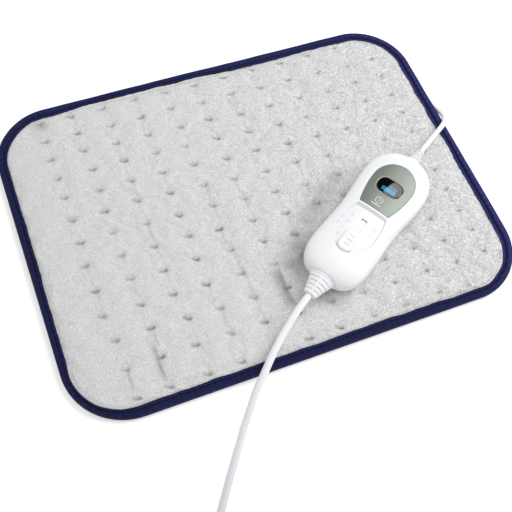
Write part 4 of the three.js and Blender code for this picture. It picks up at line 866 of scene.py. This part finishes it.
panel_top, panel_ramp, panel_depth, panel_wall, plate_recess = 1.6, 3, 1.2, 0.5, 1.6
panel_outline = np.vstack([
    [(-14.25, panel_top)],
    bend((14.25, panel_top), (17.7, -11.7), (17.7, -25)),
    bend((17.7, -25), (17.7, -35), (8.85, -47), (0, -47)),
    bend((0, -47), (-8.85, -47), (-17.7, -35), (-17.7, -25)),
    bend((-17.7, -25), (-17.7, -11.7), (-14.25, panel_top))])
slot_outline = rounded_rectangle(5.8, 27.8, 0.8, (0, -24.4), count=4)


def panel_sink(y):
    """How deep the panel lies below the crowned face: a ramp at its top, then level."""
    return panel_depth * np.clip((panel_top - y) / panel_ramp, 0, 1)


y, share, height = housing_grid(0.9, 2.6, 0.55)
xy = np.stack([half_width(y) * share * rim_pull(y), y], -1).reshape(-1, 2)
rise = (upper_height * end_share(y, 4) * height * rim_pull(y)).ravel()
on_face = np.tile(np.abs(share) < 0.9, len(y))
slot, panel, plate = (
    fitted(xy, outline, 0.3) for outline in (slot_outline, panel_outline, plate_outline(0.15)))
rise = np.where(on_face, face_height(*xy.T) * rim_pull(xy[:, 1]), rise)
rise -= panel_sink(xy[:, 1]) * np.clip(panel / panel_wall, 0, 1) + np.where(plate > 0, plate_recess, 0)
faces = [f for f in shell_faces(*y.shape) if min(slot[i] for i in f) < 0]
upper = half_shell("upper_housing", np.column_stack([xy, rise + parting]), faces, abs_white, 0.5)
# Painted shade: the ramp and the walls of the panel get a greyer, duller white than the face, for the shade
# that falls on them.
upper.data.materials.append(moulded("painted_shade_white_abs", "#cfd1d7", 0.6, 0.5))
ramped = (panel >= 0) & (xy[:, 1] > panel_top - panel_ramp - 0.1)
for face in upper.data.polygons:
    corners = list(face.vertices)
    wall_face = min(panel[corners]) == 0 and max(panel[corners]) < 1.5
    face.material_index = int(all(ramped[corners]) or wall_face)
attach(upper, "controller")
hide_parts("upper_shell")

# Display plate: a thin moulded plate in grey-green metallic lacquer, let into the face flush with it, with an
# opening for the window. A ring and a short bar are printed on it below the window.

# Metallic lacquer: half-glossy grey-green with a glint of flakes, which are drawn 0.35 mm across to show.
lacquer, tree, place = new_finish("grey_green_metallic_lacquer")
flake = add(tree, "ShaderNodeTexVoronoi", {"Vector": place, "Scale": 1 / (0.35 * MM)}).outputs["Distance"]
surface(tree, {
    "Base Color": between(tree, flake, "#858d83", "#6f7870"), "Metallic": 0.35, "Roughness": 0.42,
    "Normal": bumps(tree, flake, 0.1, 0.05), "Coat Weight": 0.3, "Coat Roughness": 0.25})

window_centre = np.array((0, 29))
window_outline = rounded_rectangle(24, 16, 6.9, window_centre)
corner_bearings = [math.atan2(3.3 - window_centre[1], side * 14.25) for side in (-1, 1)]
bearings = np.sort(np.concatenate([np.linspace(-np.pi, np.pi, 200, endpoint=False), corner_bearings]))


def reach_of(outline):
    """How far an outline lies from the window's centre in each of the bearings."""
    a, b = outline - window_centre, np.roll(outline, -1, axis=0) - window_centre
    ray = np.stack([np.cos(bearings), np.sin(bearings)], 1)[:, None]
    side = b - a
    turn = ray[..., 0] * side[:, 1] - ray[..., 1] * side[:, 0]
    turn = np.where(np.abs(turn) < 1e-9, 1e-9, turn)
    far = (a[:, 0] * side[:, 1] - a[:, 1] * side[:, 0]) / turn
    along = (a[:, 0] * ray[..., 1] - a[:, 1] * ray[..., 0]) / turn
    return np.where((far > 0) & (along > -1e-6) & (along < 1 + 1e-6), far, 0).max(1)


def ring_at(reach, drop):
    """A ring of points on the face round the window, that far out and that far below the face."""
    x = window_centre[0] + reach * np.cos(bearings)
    y = window_centre[1] + reach * np.sin(bearings)
    return np.stack([x, y, face_height(x, y) + parting - drop], 1)


window_reach, plate_reach = reach_of(window_outline), reach_of(plate_outline())
opening = window_reach + 0.3
plate_rings = [ring_at(opening, drop) for drop in (1.3, 0.25)] + [ring_at(opening + 0.2, 0.02)]
plate_rings += [
    ring_at(opening + 0.2 + (plate_reach - opening - 0.45) * t, 0) for t in np.linspace(0.06, 0.97, 16)]
plate_rings += [ring_at(plate_reach - 0.25, 0.03)] + [ring_at(plate_reach, drop) for drop in (0.3, 1.3)]
bezel = piece("display_plate", *hooped([seated(loop) for loop in plate_rings]), lacquer, sharp=50)
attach(bezel, "controller")
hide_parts("bezel_plate")


def printed(name, shapes, material, sink=None, lift=0.05):
    """Flat marks printed on the face: strips of points (an inner and an outer line each) laid on it."""
    points, faces = [], []
    for strip in shapes:
        line = np.asarray(strip, float)
        flat = line.reshape(-1, 2)
        down = sink(flat[:, 1]) if sink else 0
        high = face_height(*flat.T) + parting + lift - down
        faces += [tuple(i + len(points) for i in f) for f in quads(*line.shape[:2])]
        points += np.column_stack([flat, high]).tolist()
    return piece(name, seated(points), faces, material, closed=False)


def bar(x0, x1, y0, y1, count=6):
    """A strip from side to side between two heights."""
    x = np.linspace(x0, x1, count)
    return [np.stack([x, np.full(count, y)], 1) for y in (y0, y1)]


# Marking ink: flat pale grey.
mark_ink = moulded("pale_grey_marking_ink", "#d3d9d1", 0.55, 0.4)
icon = np.array((-0.7, 12.8))
icon_points = 41
icon_ring = [circle(icon, radius, icon_points)[np.r_[0:icon_points, 0]] for radius in (2.9, 3.5)]
hands = [bar(-0.95, -0.45, 12.6, 14.8, 2), bar(-0.95, 0.8, 12.5, 13, 2)]
plate_marks = printed("plate_marks", [icon_ring] + hands + [bar(-5.2, 3.4, 7.1, 8)], mark_ink)
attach(plate_marks, "controller")

# Display window: dark polished acrylic, slightly domed, in a thin bright ring. Two bars of the blue display
# light up behind it.

# Polished acrylic: nearly black, with a mirror's gloss and the faintest smear.
acrylic, tree, place = new_finish("dark_polished_acrylic")
smear = ranged(tree, speckle(tree, place, 6, Detail=2), 0.015, 0.04)
surface(tree, {"Base Color": linear("#050608"), "Roughness": smear, "IOR": 1.49})


def dome_rise(y):
    """How far the pane swells above the face, most along its middle."""
    return 0.35 * (1 - ((y - window_centre[1]) / 8) ** 2)


def pane_at(share, drop=0.0):
    """A ring of points on the domed pane, at a share of the way out to its edge."""
    ring = ring_at(window_reach * share, 0)
    ring[:, 2] += dome_rise(ring[:, 1]) - drop
    return ring


pane_rings = [pane_at(share, drop) for share, drop in (
    (1, 1.3), (1, 0.5), (0.98, 0.36), (0.955, 0.2), (0.93, 0.07), (0.915, 0.01))]
pane_rings += [pane_at(share) for share in np.linspace(0.9, 0.04, 22)]
last = (len(pane_rings) - 1) * len(bearings)
faces = quads(len(pane_rings), len(bearings), round_columns=True)
faces += [tuple(range(len(bearings))), tuple(range(last, last + len(bearings)))]
pane = piece("window_pane", seated(np.vstack(pane_rings)), faces, acrylic, sharp=50)
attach(pane, "controller")
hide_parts("display_window")

# A thin bright ring round the dark pane: a painted highlight for the lit edge of the plate's opening, in a
# half-metal finish that also reflects the lamps.
bright = moulded("window_ring_painted_highlight", "#c9c4c2", 0.25, 0.5, metal=0.6)
rim_rings = [ring_at(window_reach + out, drop) for out, drop in (
    (0.04, 1), (0.04, -0.08), (0.16, -0.2), (0.4, -0.2), (0.55, -0.06), (0.55, 1))]
ring = piece("window_ring", *hooped([seated(loop) for loop in rim_rings]), bright, sharp=60)
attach(ring, "controller")


def glowing(name, colour, strength):
    """A lit part of the display seen through the gloss of the window, a little brighter here and there."""
    material, tree, place = new_finish(name)
    glow = ranged(tree, speckle(tree, place, 2.5), strength * 0.8, strength * 1.2)
    surface(tree, {
        "Base Color": linear("#0a1016"), "Roughness": 0.03, "Emission Color": linear(colour),
        "Emission Strength": glow})
    return material


lit_rows, lit_columns, above_pane = 6, 14, 0.03
for name, x0, x1, y0, y1, colour, strength in (
        ("display_bar_low", -6, 7, 23.7, 27.5, "#1ba0d8", 0.7),
        ("display_bar_high", -0.5, 7, 27.6, 31.2, "#3b9fc8", 0.34)):
    flat_x, flat_y = np.meshgrid(np.linspace(x0, x1, lit_columns), np.linspace(y0, y1, lit_rows))
    high = face_height(flat_x, flat_y) + parting + dome_rise(flat_y) + above_pane
    lit = piece(name, seated(np.stack([flat_x, flat_y, high], -1)), quads(lit_rows, lit_columns),
                glowing(name, colour, strength), closed=False)
    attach(lit, "controller")

# Switch markings: the numbers 0 to 3 to the left of the slot and three growing groups of bars to the right,
# raised on the panel in white, so that only their edges show; painted shadow makes them a shade greyer.

# Raised marks: white a shade greyer than the panel, for the shadow at their edges.
raised = moulded("raised_white_marking", "#c9ccd2", 0.4, 0.5)
stops = [-34.7, -27.3, -19.9, -12.5]
graded = []
for bars_here, height in enumerate(stops[1:], 1):
    for i in range(bars_here):
        left, foot = 9.2 + 1.6 * i, height - 1.6
        graded.append(bar(left, left + 1, foot, foot + 1.7 + 1.1 * i, 2))
graded_marks = printed("graded_marks", graded, raised, sink=panel_sink)
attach(graded_marks, "controller")
for number, height in enumerate(stops):
    text = bpy.data.curves.new("number", "FONT")
    text.body, text.size, text.align_x, text.align_y = str(number), 4.4, "CENTER", "CENTER"
    text.resolution_u = 4
    written = bpy.data.objects.new("number", text)
    scene.collection.objects.link(written)
    flat = bpy.data.meshes.new_from_object(written.evaluated_get(bpy.context.evaluated_depsgraph_get()))
    bpy.data.objects.remove(written)
    drawn = np.array([v.co[:2] for v in flat.vertices]) + (-11.1, height)
    high = face_height(*drawn.T) + parting - panel_sink(drawn[:, 1]) + 0.05
    digit = piece(f"number_{number}", seated(np.column_stack([drawn, high])),
                  [tuple(p.vertices) for p in flat.polygons], raised, closed=False)
    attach(digit, "controller")

# Slide knob: a rounded, slightly dished cap of white ABS with three grip ridges, on a stem that runs in the
# panel's slot down to the switch. A flat shutter moves with it under the panel and keeps the slot closed.


def lofted(loops):
    """Points and faces of a closed solid through outlines of equally many points."""
    count = len(loops[0])
    last = (len(loops) - 1) * count
    return np.vstack(loops), quads(len(loops), count, round_columns=True) + [
        tuple(range(count)), tuple(range(last, last + count))]


def level(outline, z):
    """An outline lifted to a height."""
    return np.column_stack([outline, np.full(len(outline), z)])


knob_width, knob_length, knob_corner = 14, 22, 5.6
knob_y, knob_foot, knob_top = -35.4, 13.1, 15.7
knob_section = [
    (0.4, knob_foot), (0.1, knob_foot + 0.2), (0, 13.8), (0.1, 14.4), (0.45, 15), (1.1, 15.45), (2, knob_top),
    (3, 15.64), (4.2, 15.54), (5.4, 15.48), (6.4, 15.46)]
knob_loops = []
for inset, height in knob_section:
    outline = rounded_rectangle(
        knob_width - 2 * inset, knob_length - 2 * inset, max(knob_corner - inset, 0.4), (0, knob_y))
    knob_loops.append(seated(level(outline, height)))
knob = piece("knob_cap", *lofted(knob_loops), abs_white)
stem_outline = rounded_rectangle(4, 5.2, 0.6, (0, knob_y), 4)
stem_loops = [seated(level(stem_outline, height)) for height in (8.2, 8.5, 13, 13.4)]
stem = piece("knob_stem", *lofted(stem_loops), abs_white, sharp=50)

# Grip ridges: white ABS, a shade greyer than the cap for the shadow between them.
grip = moulded("raised_white_grip", "#dfe0e4", 0.35, 0.6)
ridges = []
for name, offsets, length in (("knob_middle_ridge", (0,), 10.4), ("knob_outer_ridges", (-4.7, 4.7), 7.6)):
    ridge_places = seated([(0, knob_y + offset, knob_top - 0.25) for offset in offsets])
    ridges.append(grow(name, point_mesh("ridges", ridge_places), bars,
                       bead=(length * MM, 1.2 * MM, 1.1 * MM), turn=controller_turn, finish=grip))
shutter_top, shutter_ends = upper_height + parting - panel_depth - 0.95, (-60.6, -10.8)
shutter_outline = rounded_rectangle(
    9, shutter_ends[1] - shutter_ends[0], 0.3, (0, sum(shutter_ends) / 2), 3)
shutter_loops = [seated(level(shutter_outline, shutter_top - drop)) for drop in (0.5, 0)]
shutter = piece("knob_shutter", *lofted(shutter_loops), abs_white, sharp=50)
for part in (knob, stem, shutter, *ridges):
    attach(part, "slide_knob")
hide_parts("slide_knob")
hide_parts("slot_shutter")

# Strain reliefs: soft white PVC, moulded on to each lead. Cross cuts leave ribs that bend, joined by a web
# along the top and the bottom of the larger one. Soft PVC is white and duller than the housing.
soft_pvc = moulded("soft_white_pvc", "#eeeff1", 0.48, 0.9)


def ribbed(length, base, tip, flatten, ribs, groove, cut_share, web_width, sides=72):
    """Outlines of a tapered ribbed sleeve, from its flanged base at y = 0 to its tip, lying along y."""
    collar, flange = 0.22 * length, 1.6
    pitch = (length - collar) / (ribs + 0.3)
    angles = np.arange(sides) * 2 * np.pi / sides
    from_web = np.abs((angles % np.pi) - np.pi / 2)
    cut = 1 - np.exp(-(from_web / web_width) ** 6) if web_width else np.ones(sides)
    loops = []
    for y in np.linspace(0, length, round(length / 0.22)):
        phase = (y - collar) / pitch % 1
        groove_here = groove * math.sin(math.pi * min(phase / cut_share, 1)) ** 0.5 if y > collar else 0
        round_off = 0.5 * (math.exp(-y / 0.35) + math.exp((y - length) / 0.35))
        step_in = 0.8 / (1 + math.exp((flange - y) / 0.08))
        radius = (base + (tip - base) * y / length) / 2 - groove_here * cut - round_off - step_in
        loops.append(np.stack([
            radius * np.cos(angles), np.full(sides, y), radius * np.sin(angles) * flatten], 1))
    return loops


boot_gap = 0.3
mains_boot = ribbed(20, 24.6, 12.2, 0.75, 4, 2.8, 0.25, 0.15)
lead_boot = ribbed(18.5, 16.6, 8, 0.9, 4, 2.6, 0.56, 0.0)
for name, loops, end, node in (("mains_strain_relief", mains_boot, -1, "mains_boot"),
                               ("lead_strain_relief", lead_boot, 1, "lead_boot")):
    placed = [seated(loop * (1, end, 1) + (0, end * (housing_end + boot_gap), 0)) for loop in loops]
    boot = piece(name, *lofted(placed), soft_pvc)
    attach(boot, "controller")
    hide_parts(node)
dress(soft_pvc, "lead_anchor")

# Pad lead and mains lead: round PVC-sheathed cords, white, drawn smooth through a die. The pad lead
# runs from the seam to the controller; the rest of the mains lead is put away in a flat coil.


def smooth_route(points, step):
    """A smooth line through points, with a point about every step along it."""
    points = np.asarray(points, float)
    ends = np.vstack([2 * points[0] - points[1], points, 2 * points[-1] - points[-2]])
    knots = np.concatenate([[0], np.cumsum(np.linalg.norm(np.diff(ends, axis=0), axis=1))])
    slopes = (ends[2:] - ends[:-2]) / (knots[2:] - knots[:-2])[:, None]
    line = [points[:1]]
    for i in range(len(points) - 1):
        span = knots[i + 2] - knots[i + 1]
        count = max(round(span / step), 1)
        t = (np.arange(1, count + 1) / count)[:, None]
        line.append((2 * t ** 3 - 3 * t ** 2 + 1) * points[i] + (t ** 3 - 2 * t ** 2 + t) * span * slopes[i]
                    + (3 * t ** 2 - 2 * t ** 3) * points[i + 1] + (t ** 3 - t ** 2) * span * slopes[i + 1])
    return np.vstack(line)


def tube(route, diameter, sides=16):
    """Points and faces of a closed round tube along a route."""
    along = np.gradient(route, axis=0)
    along /= np.linalg.norm(along, axis=1)[:, None]
    side = np.cross(along[0], (0, 0, 1))
    rings = []
    for at, ahead in zip(route, along):
        side = side - ahead * (side @ ahead)
        side /= np.linalg.norm(side)
        over = np.cross(ahead, side)
        angles = np.arange(sides) * 2 * np.pi / sides
        rings.append(at + diameter / 2 * (np.cos(angles)[:, None] * side + np.sin(angles)[:, None] * over))
    return lofted(rings)


lead_diameter = 4.6
anchor_point, anchor_heading = np.array((194.4, 64)), math.radians(-72)
anchor_way = np.array((math.cos(anchor_heading), math.sin(anchor_heading)))
lead_points = [(*(anchor_point + run * anchor_way), 3.8) for run in (0.3, 6.97, 13.63, 20.3)]
lead_points += [
    (202.7, 38.8, 4), (203.2, 33.5, 5.2), (202.4, 28.5, 7.4), (200.2, 23.4, 10), (196.4, 18.4, 12.6),
    (191, 13.8, 14.6), (184, 9.2, 16), (176, 4, 17.4), (168, -1.2, 19.5), (160.6, -6.1, 21.9)]
lead_points += list(seated([(0, 93.5, 0), (0, 89.1, 0)]))
lead_route = smooth_route(lead_points, 1.6)

# PVC sheath: smooth, half-dull white with a die grain drawn 0.9 mm across to show, and painted shade that
# greys it from in front of the pad towards the coil.
cord_pvc, tree, place = new_finish("white_pvc_sheath")
along_lead = add(tree, "ShaderNodeSeparateXYZ", {0: place}).outputs["Y"]
# Painted shade: the sheath greys along its length, from in front of the pad towards the coil.
painted_shade_along_lead = ranged(tree, along_lead, 0, 1, start=-0.13, end=-0.23)
die_grain = speckle(tree, place, 0.9, Detail=2)
surface(tree, {
    "Base Color": between(tree, painted_shade_along_lead, "#ecedf0", "#cfd0d5"),
    "Roughness": ranged(tree, die_grain, 0.37, 0.47), "Normal": bumps(tree, die_grain, 0.12, 0.14)})

pad_lead = piece("pad_lead_cord", *tube(lead_route, lead_diameter), cord_pvc, sharp=50)
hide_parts("pad_lead")

mains_diameter = 6
mains_points = list(seated([(0, -90.6, 0), (0, -96.8, 0)])) + [
    (-12.5, -116.7, 22.3), (-20, -122.4, 20.2), (-30.3, -130.7, 17.8), (-42.2, -141.6, 16.2),
    (-54.5, -153.9, 14.2), (-63.8, -163.2, 11), (-72.6, -173.7, 7.2), (-80.1, -182.9, 4.4),
    (-88.3, -194, 3.2), (-96.4, -204.6, 3.1), (-104.6, -215.7, 3.1), (-112, -226, 3.1),
    (-119.3, -236.1, 3.1), (-127, -246.8, 3.1), (-135, -257.8, 3.3), (-142, -267.5, 3.8), (-149, -277.3, 4.2)]

# The coil is two spirals one on the other: the lead winds in on the table, climbs one layer, and winds out.
coil_turns, coil_inner, coil_pitch, coil_points = 7.36, 24.5, 6.6, 266
entry = np.array(mains_points[-1])
inward = entry - np.array(mains_points[-2])
inward[2] = 0
inward /= np.linalg.norm(inward)
aside = np.array((-inward[1], inward[0], 0))
coil_outer = coil_inner + coil_pitch * coil_turns / 2
coil_centre = entry + inward * (0.3 + mains_diameter) + aside * coil_outer
turns = np.linspace(0, coil_turns, coil_points)
spread = coil_inner + coil_pitch * np.abs(turns - coil_turns / 2)
bearing = math.atan2(-aside[1], -aside[0]) + 2 * np.pi * turns
climb = coil_pitch * (1 - np.cos(np.pi * np.clip((turns - coil_turns / 2) * 2 + 0.5, 0, 1))) / 2
coil_route = coil_centre + np.stack([spread * np.cos(bearing), spread * np.sin(bearing), climb], 1)
tail_heading = np.array((-math.sin(bearing[-1]), math.cos(bearing[-1]), 0))
tail_length, coil_clearance, plug_half_height = 42, 0.6, 6.85
tail_reach = tail_length + mains_diameter + coil_clearance
tail = np.linspace(0, 1, 22)[1:]
tail_route = coil_route[-1] + tail_heading * tail_reach * tail[:, None]
tail_rise = (1 - np.cos(np.pi * np.clip((tail - 0.2) / 0.72, 0, 1))) / 2
tail_route[:, 2] += (plug_half_height - coil_route[-1][2]) * tail_rise
mains_route = np.vstack([smooth_route(mains_points, 2.5), coil_route, tail_route])
mains_lead = piece("mains_lead_cord", *tube(mains_route, mains_diameter), cord_pvc, sharp=50)
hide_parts("mains_cord", "mains_cord_coil", "mains_cord_tail")

# Coil tie: a strap of black hook-and-loop cloth, 10 mm wide, closed round the turns of the coil to hold them
# together.

# Hook and loop: matt, fuzzy black. Its loops are finer than the 0.8 mm that they are drawn across to show.
strap, tree, place = new_finish("black_hook_and_loop")
loop_pile = add(tree, "ShaderNodeTexVoronoi", {"Vector": place, "Scale": 1 / (0.8 * MM)}).outputs["Distance"]
surface(tree, {
    "Base Color": between(tree, loop_pile, "#33333a", "#141416"), "Roughness": 0.85, "Sheen Weight": 0.3,
    "Normal": bumps(tree, loop_pile, 0.7, 0.4)})

tie_width, tie_thickness, tie_angle = 10, 0.9, math.radians(30)
room = mains_diameter / 2 + 0.45 + tie_thickness
tie_inside, tie_outside = coil_inner - room, coil_outer + room
tie_height = coil_pitch + mains_diameter + 0.6 + 2 * tie_thickness
tie_middle = (tie_inside + tie_outside) / 2, tie_height / 2
tie_section = [
    (-0.5, 0.25), (-0.46, 0), (0, 0), (0.46, 0), (0.5, 0.25), (0.5, tie_thickness - 0.1),
    (0.46, tie_thickness), (-0.46, tie_thickness), (-0.5, tie_thickness - 0.1)]
c, s = math.cos(tie_angle), math.sin(tie_angle)
tie_loops = []
for across, inset in tie_section:
    outline = rounded_rectangle(tie_outside - tie_inside - 2 * inset, tie_height - 2 * inset,
                                tie_height / 3 - inset, tie_middle)
    far, beside = outline[:, 0], across * tie_width
    tie_loops.append(np.column_stack([
        coil_centre[0] + far * c - beside * s, coil_centre[1] + far * s + beside * c, outline[:, 1]]))
tie = piece("coil_strap", *hooped(tie_loops), strap)
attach(tie, "pad")
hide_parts("coil_tie")

# Plug: a flat two-pin mains plug, moulded on to the lead in the same PVC, with grip hollows in its sides, a
# short ribbed sleeve on the lead, and round nickel-plated brass pins.
plug_sleeve, plug_length, plug_width, plug_corner = 18, 36, 35.3, 3.2
plug_at = coil_route[-1] + tail_heading * (tail_reach + plug_sleeve)
plug_at[2] = plug_half_height


def plugged(points):
    """Points of the plug's own frame, y from its lead to its pins and z up from its middle, where it lies."""
    points = np.asarray(points, float).reshape(-1, 3)
    across = np.array((tail_heading[1], -tail_heading[0], 0))
    return plug_at + points[:, :1] * across + points[:, 1:2] * tail_heading + points[:, 2:] * (0, 0, 1)


plug_stations = np.array([
    (0, 0.42, 0.86), (0.12, 0.5, 0.96), (0.45, 0.86, 1), (0.62, 1, 1), (0.94, 1, 1), (1, 0.95, 0.92)])
plug_loops = []
for t in np.concatenate([[0, 0.01], np.linspace(0.04, 0.96, 34), [0.985, 1]]):
    wide, high = (np.interp(t, plug_stations[:, 0], plug_stations[:, i]) for i in (1, 2))
    pull = 1 - 0.05 * (math.exp(-t / 0.012) + math.exp((t - 1) / 0.012))
    side, up = rounded_rectangle(
        plug_width * wide * pull, 2 * plug_half_height * high * pull, plug_corner).T
    grip_hollow = 0.7 * math.exp(-((t - 0.66) / 0.16) ** 2) * np.exp(-((np.abs(side) - 17.6) / 3) ** 2)
    side = side - np.sign(side) * grip_hollow
    plug_loops.append(plugged(np.column_stack([side, np.full(len(side), t * plug_length), up])))
plug = piece("plug_moulding", *lofted(plug_loops), cord_pvc)
sleeve_loops = ribbed(plug_sleeve, 12, 8, 1, 4, 0.9, 0.35, 0.0, 48)
sleeve = piece("plug_strain_relief", *lofted([
    plugged(loop * (1, -1, 1) - (0, boot_gap, 0)) for loop in sleeve_loops]), cord_pvc)

# Nickel plating: bright, slightly warm metal.
nickel = moulded("nickel_plated_brass", "#cfcfca", 0.22, 0.6, metal=1.0)
pin_aside, pin_sides = 9.3, 24
pin_profile = [(0.05, 30.3), (2, 30.3), (2, 30.6), (2, 53), (1.9, 53.9), (1.55, 54.6), (0.95, 55), (0.05, 55)]
for side, node in ((-1, "plug_pin_1"), (1, "plug_pin_2")):
    pin_loops = []
    for radius, y in pin_profile:
        x, z = circle((side * pin_aside, 0), radius, pin_sides).T
        pin_loops.append(plugged(np.column_stack([x, np.full(pin_sides, y), z])))
    pin = piece("plug_pin_metal_" + node[-1], *lofted(pin_loops), nickel, sharp=50)
    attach(pin, "pad")
    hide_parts(node)
for part, node in ((plug, "plug_body"), (sleeve, "plug_boot")):
    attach(part, "pad")
    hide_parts(node)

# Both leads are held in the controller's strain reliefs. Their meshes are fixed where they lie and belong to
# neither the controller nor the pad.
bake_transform(pad_lead)
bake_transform(mains_lead)
